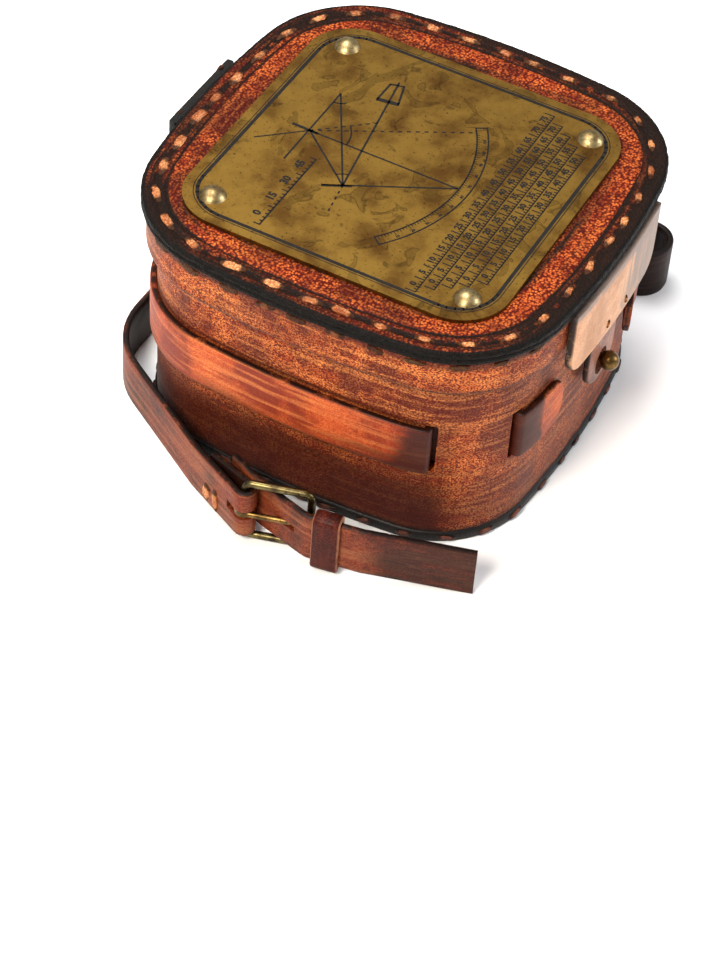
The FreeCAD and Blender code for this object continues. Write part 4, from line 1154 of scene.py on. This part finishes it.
def keeper():
    """A loop of dark leather round the strap."""
    bm = start_mesh()
    middle = FAR_RAIL + KEEPER_DIR * 6.2 + UP * BUCKLE_MIDDLE
    across = outward(KEEPER_DIR)
    half_across, half_up, corner = 2.1, 9.6, 1.3
    loops = []
    around = 0.0
    for a, u, face_a, face_u in round_corners(half_across, half_up, corner, 4):
        centre = middle + across * a + UP * u
        normal = across * face_a + UP * face_u
        loops.append([(centre + KEEPER_DIR * w + normal * t, around, w, 0.2, edge)
                      for w, t, edge in KEEPER_SECTION])
        around += 3.0
    skin(bm, loops, joined=True)
    finish_piece("keeper_leather", bm, "keeper", ["strap_keeper"], DARK_LEATHER)


def strap_stitches():
    """Two stitches that close the fold at the buckle, and four that hold the splice."""
    face = (run_point(0, FOLD_RADIUS) - run_point(RUN_LENGTH, 0)).normalized()
    closing = []
    for back in (FOLD_LENGTH - 2.4, FOLD_LENGTH - 7.2):
        share = 1 - back / RUN_LENGTH
        spot = run_point(back, FOLD_RADIUS * share) + outward(face) * (STRAP_THICK / 2)
        spot.z = BUCKLE_LOW * share + 0.28 * STRAP_WIDTH
        closing.append((spot, UP, outward(face)))
    lacing("run_lace", "strap_lacing", closing, "case")
    face_x = SPLICE_X + STRAP_THICK / 2
    splice = [(Vector((face_x, share * SPLICE_Y, BAND_LOW + level * STRAP_WIDTH)), UP, SIDEWAYS)
              for share in (0.5, 0.8) for level in (0.3, 0.7)]
    lacing("splice_lace", "splice_lacing", splice, "case", length=3.6)


carry_strap()
billet()
keeper()
strap_stitches()


# closure: one flap that bends under the rim, and its tongue

def on_front(point):
    """Curve a flat front piece to follow the front of the case, a little flatter than the wall."""
    fall = SIDE_RADIUS - math.sqrt(SIDE_RADIUS ** 2 - point.x ** 2)
    return Vector((point.x, point.y + fall * 0.9, point.z))


def hanging(y, top, low, width, corner, steps, crowding):
    """Stations and widths of a piece that hangs on the front, with round lower corners. Crowding above
    1 sets the stations closer together towards the lower end."""
    stations = []
    widths = []
    for step in range(steps + 1):
        z = top + (low - top) * (1 - (1 - step / steps) ** crowding)
        stations.append(Vector((FLAP_X, y, z)))
        widths.append(width - 2 * round_end(z - low, corner))
    return stations, widths


def flap():
    """The pale flap, with painted shade where it comes out from under the rim, and greyer to the right."""
    bm = start_mesh()
    stations, widths = hanging(FLAP_Y, 75.5, 53.0, FLAP_WIDTH, 6.0, 30, 1.6)
    # the top few millimetres are darkened: painted shade under the rim
    swept(bm, stations, SIDEWAYS, width=FLAP_WIDTH, thick=FLAP_THICK, widths=widths,
          wear=lambda number, along: 0.15 + 0.8 * smooth(1 - along / 4.0), shape=on_front, flip=True)
    shade(bm, lambda co: 0.65 * smooth((co.x + 6.0) / 30.0))
    obj = finish_piece("flap_leather", bm, None, ["flap_root", "closure_flap"], FLAP_LEATHER)
    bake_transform(obj, "lid", "flap", start=(FLAP_X * MM, -0.0674, 0.0735), end=(FLAP_X * MM, -0.0674, 0.0685))


def tongue():
    """The tongue, with an upright oval buttonhole for the stud."""
    bm = start_mesh()
    stations, widths = hanging(TONGUE_Y, 61.0, 29.0, TONGUE_WIDTH, 8.4, 40, 1.7)
    swept(bm, stations, SIDEWAYS, width=TONGUE_WIDTH, thick=TONGUE_THICK, widths=widths,
          wear=lambda number, along: 0.15 + 0.5 * smooth((along - 22) / 8), shape=on_front, flip=True)
    obj = finish_piece("tongue_leather", bm, "flap", ["flap_tongue"], TONGUE_LEATHER)
    buttonhole = (7.4, 9.8, 8.0)
    turned = Matrix.Rotation(math.radians(90.0), 4, "X")
    place = Matrix.Translation((FLAP_X, TONGUE_Y, STUD_HEIGHT - 1.2)) @ turned
    pierce(obj, [(place, buttonhole, 28)])


def tongue_stitches():
    """Two stitches, side by side, that hold the tongue on the flap."""
    pair = [(Vector((FLAP_X + side * 6.0, -68.1, 57.0)), UP, Vector((0, -1, 0))) for side in (-1, 1)]
    lacing("flap_lace", "flap_stitches", pair, "flap", length=3.6, width=1.2)


flap()
tongue()
tongue_stitches()


# hinge: one strip of leather laced to the lid and to the wall

def hinge():
    bm = start_mesh()
    path = [(68.3, 78.4), (68.3, 64.5), (68.0, 62.6), (63.9, 55.3), (63.5, 53.8), (63.5, 50.1)]
    stations = evened([Vector((0, y, z)) for y, z in path], 1.0)
    swept(bm, stations, SIDEWAYS, width=HINGE_WIDTH, thick=HINGE_THICK, wear=lambda number, along: 0.6)
    obj = finish_piece(
        "hinge_leather", bm, None, ["hinge_leaf_lid", "hinge_leaf_case"], RIM_LEATHER)
    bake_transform(obj, "case", "lid", start=(0, 0.0683, 0.0605), end=(0, 0.0683, 0.0655))


def hinge_stitches(name, node, y, z, body):
    """Two upright stitches through the hinge strip."""
    pair = [(Vector((side * 12.2, y, z)), UP, Vector((0, 1, 0))) for side in (-1, 1)]
    lacing(name, node, pair, body, length=3.6)


hinge()
hinge_stitches("hinge_lace_lid", "hinge_stitches_lid", 69.4, 76.7, "lid")
hinge_stitches("hinge_lace_case", "hinge_stitches_case", 64.6, 52.2, "case")


# engraving on the plate: a border, a textbook figure, a graduated arc and graduated rules

LINE_WEIGHT = 1.35
LINE_DEPTH = 0.08


def groove_bar(bm, here, there, width):
    """One straight engraved line, filled black, a hair above the plate."""
    middle = (here + there) / 2
    length = (there - here).length + width * 0.5
    angle = math.atan2(there.y - here.y, there.x - here.x)
    cube = bmesh.ops.create_cube(bm, size=1.0)["verts"]
    bmesh.ops.scale(bm, vec=(length, width * LINE_WEIGHT, LINE_DEPTH), verts=cube)
    place = Matrix.Translation((middle.x, middle.y, PLATE_TOP)) @ Matrix.Rotation(angle, 4, "Z")
    bmesh.ops.transform(bm, matrix=place, verts=cube)


def on_plate(x, y):
    return Vector((x, y, 0))


def ray(angle):
    """Direction on the plate at an angle in degrees."""
    return on_plate(math.cos(math.radians(angle)), math.sin(math.radians(angle)))


def line_through(bm, spots, width):
    """Engraved lines from each spot to the next."""
    for here, there in zip(spots, spots[1:]):
        groove_bar(bm, here, there, width)


def border(bm, inset, width, radius):
    """A line round the plate with round corners."""
    corners = round_corners(PLATE_HALF_X - inset, PLATE_HALF_Y - inset, radius, 8)
    spots = [on_plate(PLATE_X + x, PLATE_Y + y) for x, y, face_x, face_y in corners]
    line_through(bm, spots + spots[:1], width)


def arc_line(bm, centre, radius, first, last, width, steps=40):
    """An engraved arc between two angles in degrees."""
    spots = [centre + ray(first + (last - first) * step / steps) * radius for step in range(steps + 1)]
    line_through(bm, spots, width)


def dashed(bm, here, there, width):
    """A dashed line whose gaps are a little longer than its dashes."""
    dash = 1.4
    count = round((there - here).length / (dash * 1.8))
    for step in range(count):
        start = here.lerp(there, step / count)
        groove_bar(bm, start, start + (there - here).normalized() * dash * 0.7, width)


def figures(bm, text, centre, height, angle):
    """Plain figures, struck into the plate."""
    curve = bpy.data.curves.new("figures", "FONT")
    curve.body = text
    curve.size = height
    curve.align_x = "CENTER"
    curve.align_y = "CENTER"
    curve.extrude = LINE_DEPTH / 2
    curve.offset = height * 0.045
    curve.resolution_u = 2
    holder = bpy.data.objects.new("figures", curve)
    bpy.context.scene.collection.objects.link(holder)
    bpy.context.view_layer.update()
    mesh = bpy.data.meshes.new_from_object(holder.evaluated_get(bpy.context.evaluated_depsgraph_get()))
    mesh.transform(Matrix.Translation((centre.x, centre.y, PLATE_TOP)) @ Matrix.Rotation(angle, 4, "Z"))
    bm.from_mesh(mesh)
    bpy.data.objects.remove(holder)


INDEX = on_plate(-1.6, 31.4)
HORIZON = on_plate(-17.8, 11.8)
APEX = on_plate(17.8, 31.8)


def figure_lines(bm):
    """The textbook figure: solid lines, short heavy bars across them, a small box and dashed lines."""
    foot = on_plate(-1.7, -16.6)
    outer_high, outer_low = on_plate(29.5, 21.5), on_plate(30.6, 17.5)
    inner_high, inner_low = on_plate(21.4, 21.6), on_plate(22.4, 15.2)
    for here, there, width in (
            (APEX, on_plate(-16.3, 31.6), 0.42), (APEX, HORIZON, 0.42), (INDEX, HORIZON, 0.42),
            (HORIZON, on_plate(31.5, 19.6), 0.45), (INDEX, foot, 0.42),
            (on_plate(-20.5, 16.8), on_plate(-1.7, -16.5), 0.42), (on_plate(-12.7, 43.5), INDEX, 0.35),
            (on_plate(-1.4, 37.0), on_plate(-1.7, 28.8), 0.75),
            (on_plate(-20.8, 17.0), on_plate(-16.7, 9.6), 0.75),
            (outer_high, outer_low, 0.5), (outer_low, inner_low, 0.5), (inner_low, inner_high, 1.1),
            (inner_high, outer_high, 0.5)):
        groove_bar(bm, here, there, width)
    dashed(bm, INDEX, on_plate(23.4, -10.3), 0.4)
    dashed(bm, INDEX, on_plate(12.8, 15.3), 0.35)
    dashed(bm, HORIZON, on_plate(-31.1, 9.8), 0.4)
    arc_line(bm, INDEX, 12.0, -90.0, -50.0, 0.35, 10)
    arc_line(bm, APEX, 4.5, 180.0, 230.0, 0.3, 6)
    arc_line(bm, HORIZON, 5.0, 10.0, 50.0, 0.3, 6)


def graduated_arc(bm):
    """A band between two arcs, divided from the inner one and numbered at every fifth mark."""
    inner, outer = 48.3, 51.6
    ends = (-56.6, -129.2)
    for radius in (inner, outer):
        arc_line(bm, INDEX, radius, *ends, 0.35)
    for end in ends:
        groove_bar(bm, INDEX + ray(end) * inner, INDEX + ray(end) * outer, 0.35)
    marks = 60
    for mark in range(marks + 1):
        angle = -128.0 + 70.0 * mark / marks
        fifth = mark % 5 == 0
        depth = 1.5 if fifth else 0.85
        groove_bar(bm, INDEX + ray(angle) * inner, INDEX + ray(angle) * (inner + depth), 0.16)
        if fifth and 0 < mark < marks:
            figures(bm, str(mark * 2), INDEX + ray(angle) * 50.6, 1.3, math.radians(angle + 90.0))


def rule(bm, y, left, right):
    """A graduated rule across the plate, numbered at every fifth mark."""
    foot = y - 1.3
    groove_bar(bm, on_plate(left, foot), on_plate(right, foot), 0.28)
    count = 5 * round((right - left) / 5.6)
    for mark in range(count + 1):
        x = left + (right - left) * mark / count
        fifth = mark % 5 == 0
        groove_bar(bm, on_plate(x, foot), on_plate(x, foot + (3.0 if fifth else 0.9)), 0.3)
        if fifth and mark < count:
            figures(bm, str(mark), on_plate(x + 2.8, y + 0.75), 2.7, 0.0)


def short_rule(bm):
    """The rule beside the figure, with larger figures."""
    left, length, foot = -44.5, 32.5, 23.6
    marks = 20
    groove_bar(bm, on_plate(left, foot), on_plate(left + length, foot), 0.4)
    for mark in range(marks + 1):
        x = left + length * mark / marks
        fifth = mark % 5 == 0
        groove_bar(bm, on_plate(x, foot), on_plate(x, 24.5 + fifth), 0.32)
        if fifth and mark < marks:
            figures(bm, str(mark * 3), on_plate(x + 4.0, 26.6), 3.4, 0.0)


def engraving():
    bm = start_mesh()
    border(bm, 4.0, 0.8, 12.0)
    border(bm, 2.9, 0.2, 13.0)
    figure_lines(bm)
    graduated_arc(bm)
    for y, left, right in ((-24.8, -46.0, 42.0), (-28.8, -42.5, 39.0), (-32.6, -39.5, 36.0),
                           (-36.4, -36.5, 33.0), (-40.2, -33.0, 30.0)):
        rule(bm, y, left, right)
    short_rule(bm)
    finish_piece("plate_engraving", bm, "lid", [], ENGRAVED, sharp=20.0)


engraving()

# metal pieces keep their own solids
for node, material in (
        ("brass_plate", PLATE_BRASS), ("plate_rivets", RIVET_BRASS), ("rivet_burrs", RIVET_BRASS),
        ("stud_ball", STUD_BRASS), ("stud_washer", STUD_BRASS), ("stud_screw", STUD_BRASS),
        ("buckle_frame", WIRE_BRASS), ("buckle_prong", STUD_BRASS)):
    mesh = nodes[node].data
    mesh.materials.clear()
    mesh.materials.append(material)

# camera, floor and light

def place_camera():
    """The camera's place and lens, solved from the plate, the lid's outline and the base."""
    data = bpy.data.cameras.new("camera")
    data.sensor_width = 36.0
    data.lens = 107.21
    data.clip_start = 0.05
    data.clip_end = 20.0
    camera = bpy.data.objects.new("camera", data)
    bpy.context.scene.collection.objects.link(camera)
    right = Vector((0.47349, -0.87894, 0.05708))
    up = Vector((0.62133, 0.37925, 0.68565))
    toward = Vector((0.62430, 0.28918, -0.72569))
    turned = Matrix((right, up, -toward)).transposed().to_4x4()
    camera.matrix_world = Matrix.Translation((-0.5666, -0.2553, 0.6062)) @ turned
    bpy.context.scene.camera = camera


def paper():
    """White paper: matt, with a faint unevenness of its fibres drawn coarse so that it shows."""
    material, tree = blank("white_paper_floor")
    where = add(tree, "ShaderNodeTexCoord").outputs["Object"]
    fibre = add(tree, "ShaderNodeTexNoise", {"Vector": where, "Scale": 60.0, "Detail": 2.0})
    tone = add(tree, "ShaderNodeMapRange", {
        "Value": fibre.outputs["Fac"], "To Min": 0.9, "To Max": 0.94})
    colour = add(tree, "ShaderNodeCombineColor", {
        0: tone.outputs[0], 1: tone.outputs[0], 2: tone.outputs[0]})
    shader = add(tree, "ShaderNodeBsdfPrincipled", {"Base Color": colour.outputs[0], "Roughness": 0.8})
    add(tree, "ShaderNodeOutputMaterial", {"Surface": shader.outputs[0]})
    return material


def lay_floor():
    bm = bmesh.new()
    bmesh.ops.create_grid(bm, x_segments=1, y_segments=1, size=4.0)
    mesh = bpy.data.meshes.new("floor")
    bm.to_mesh(mesh)
    bm.free()
    mesh.materials.append(paper())
    floor = bpy.data.objects.new("floor", mesh)
    bpy.context.scene.collection.objects.link(floor)


def area_light(name, place, aim, size, power, colour):
    """A round soft light, in metres and watts, turned towards aim."""
    data = bpy.data.lights.new(name, "AREA")
    data.shape = "DISK"
    data.size = size
    data.energy = power
    data.color = linear(colour)[:3]
    light = bpy.data.objects.new(name, data)
    light.location = place
    light.rotation_mode = "QUATERNION"
    light.rotation_quaternion = (Vector(aim) - Vector(place)).to_track_quat("-Z", "Y")
    bpy.context.scene.collection.objects.link(light)


def studio_world():
    """Even white light from all round."""
    world = bpy.data.worlds.new("studio")
    world.use_nodes = True
    background = world.node_tree.nodes["Background"]
    background.inputs["Color"].default_value = linear("#fffdfa")
    background.inputs["Strength"].default_value = 0.5
    bpy.context.scene.world = world


place_camera()
lay_floor()
area_light("key", (-1.0, 0.1, 1.1), (0, 0, 0.04), 0.5, 26.0, "#fff6ea")
area_light("top", (0.2, 0.5, 1.6), (0, 0, 0.05), 1.0, 26.0, "#ffffff")
area_light("front", (0.7, -1.3, 0.7), (0, 0, 0.05), 0.8, 14.0, "#eef4ff")
studio_world()
bpy.context.scene.view_settings.view_transform = "Standard"
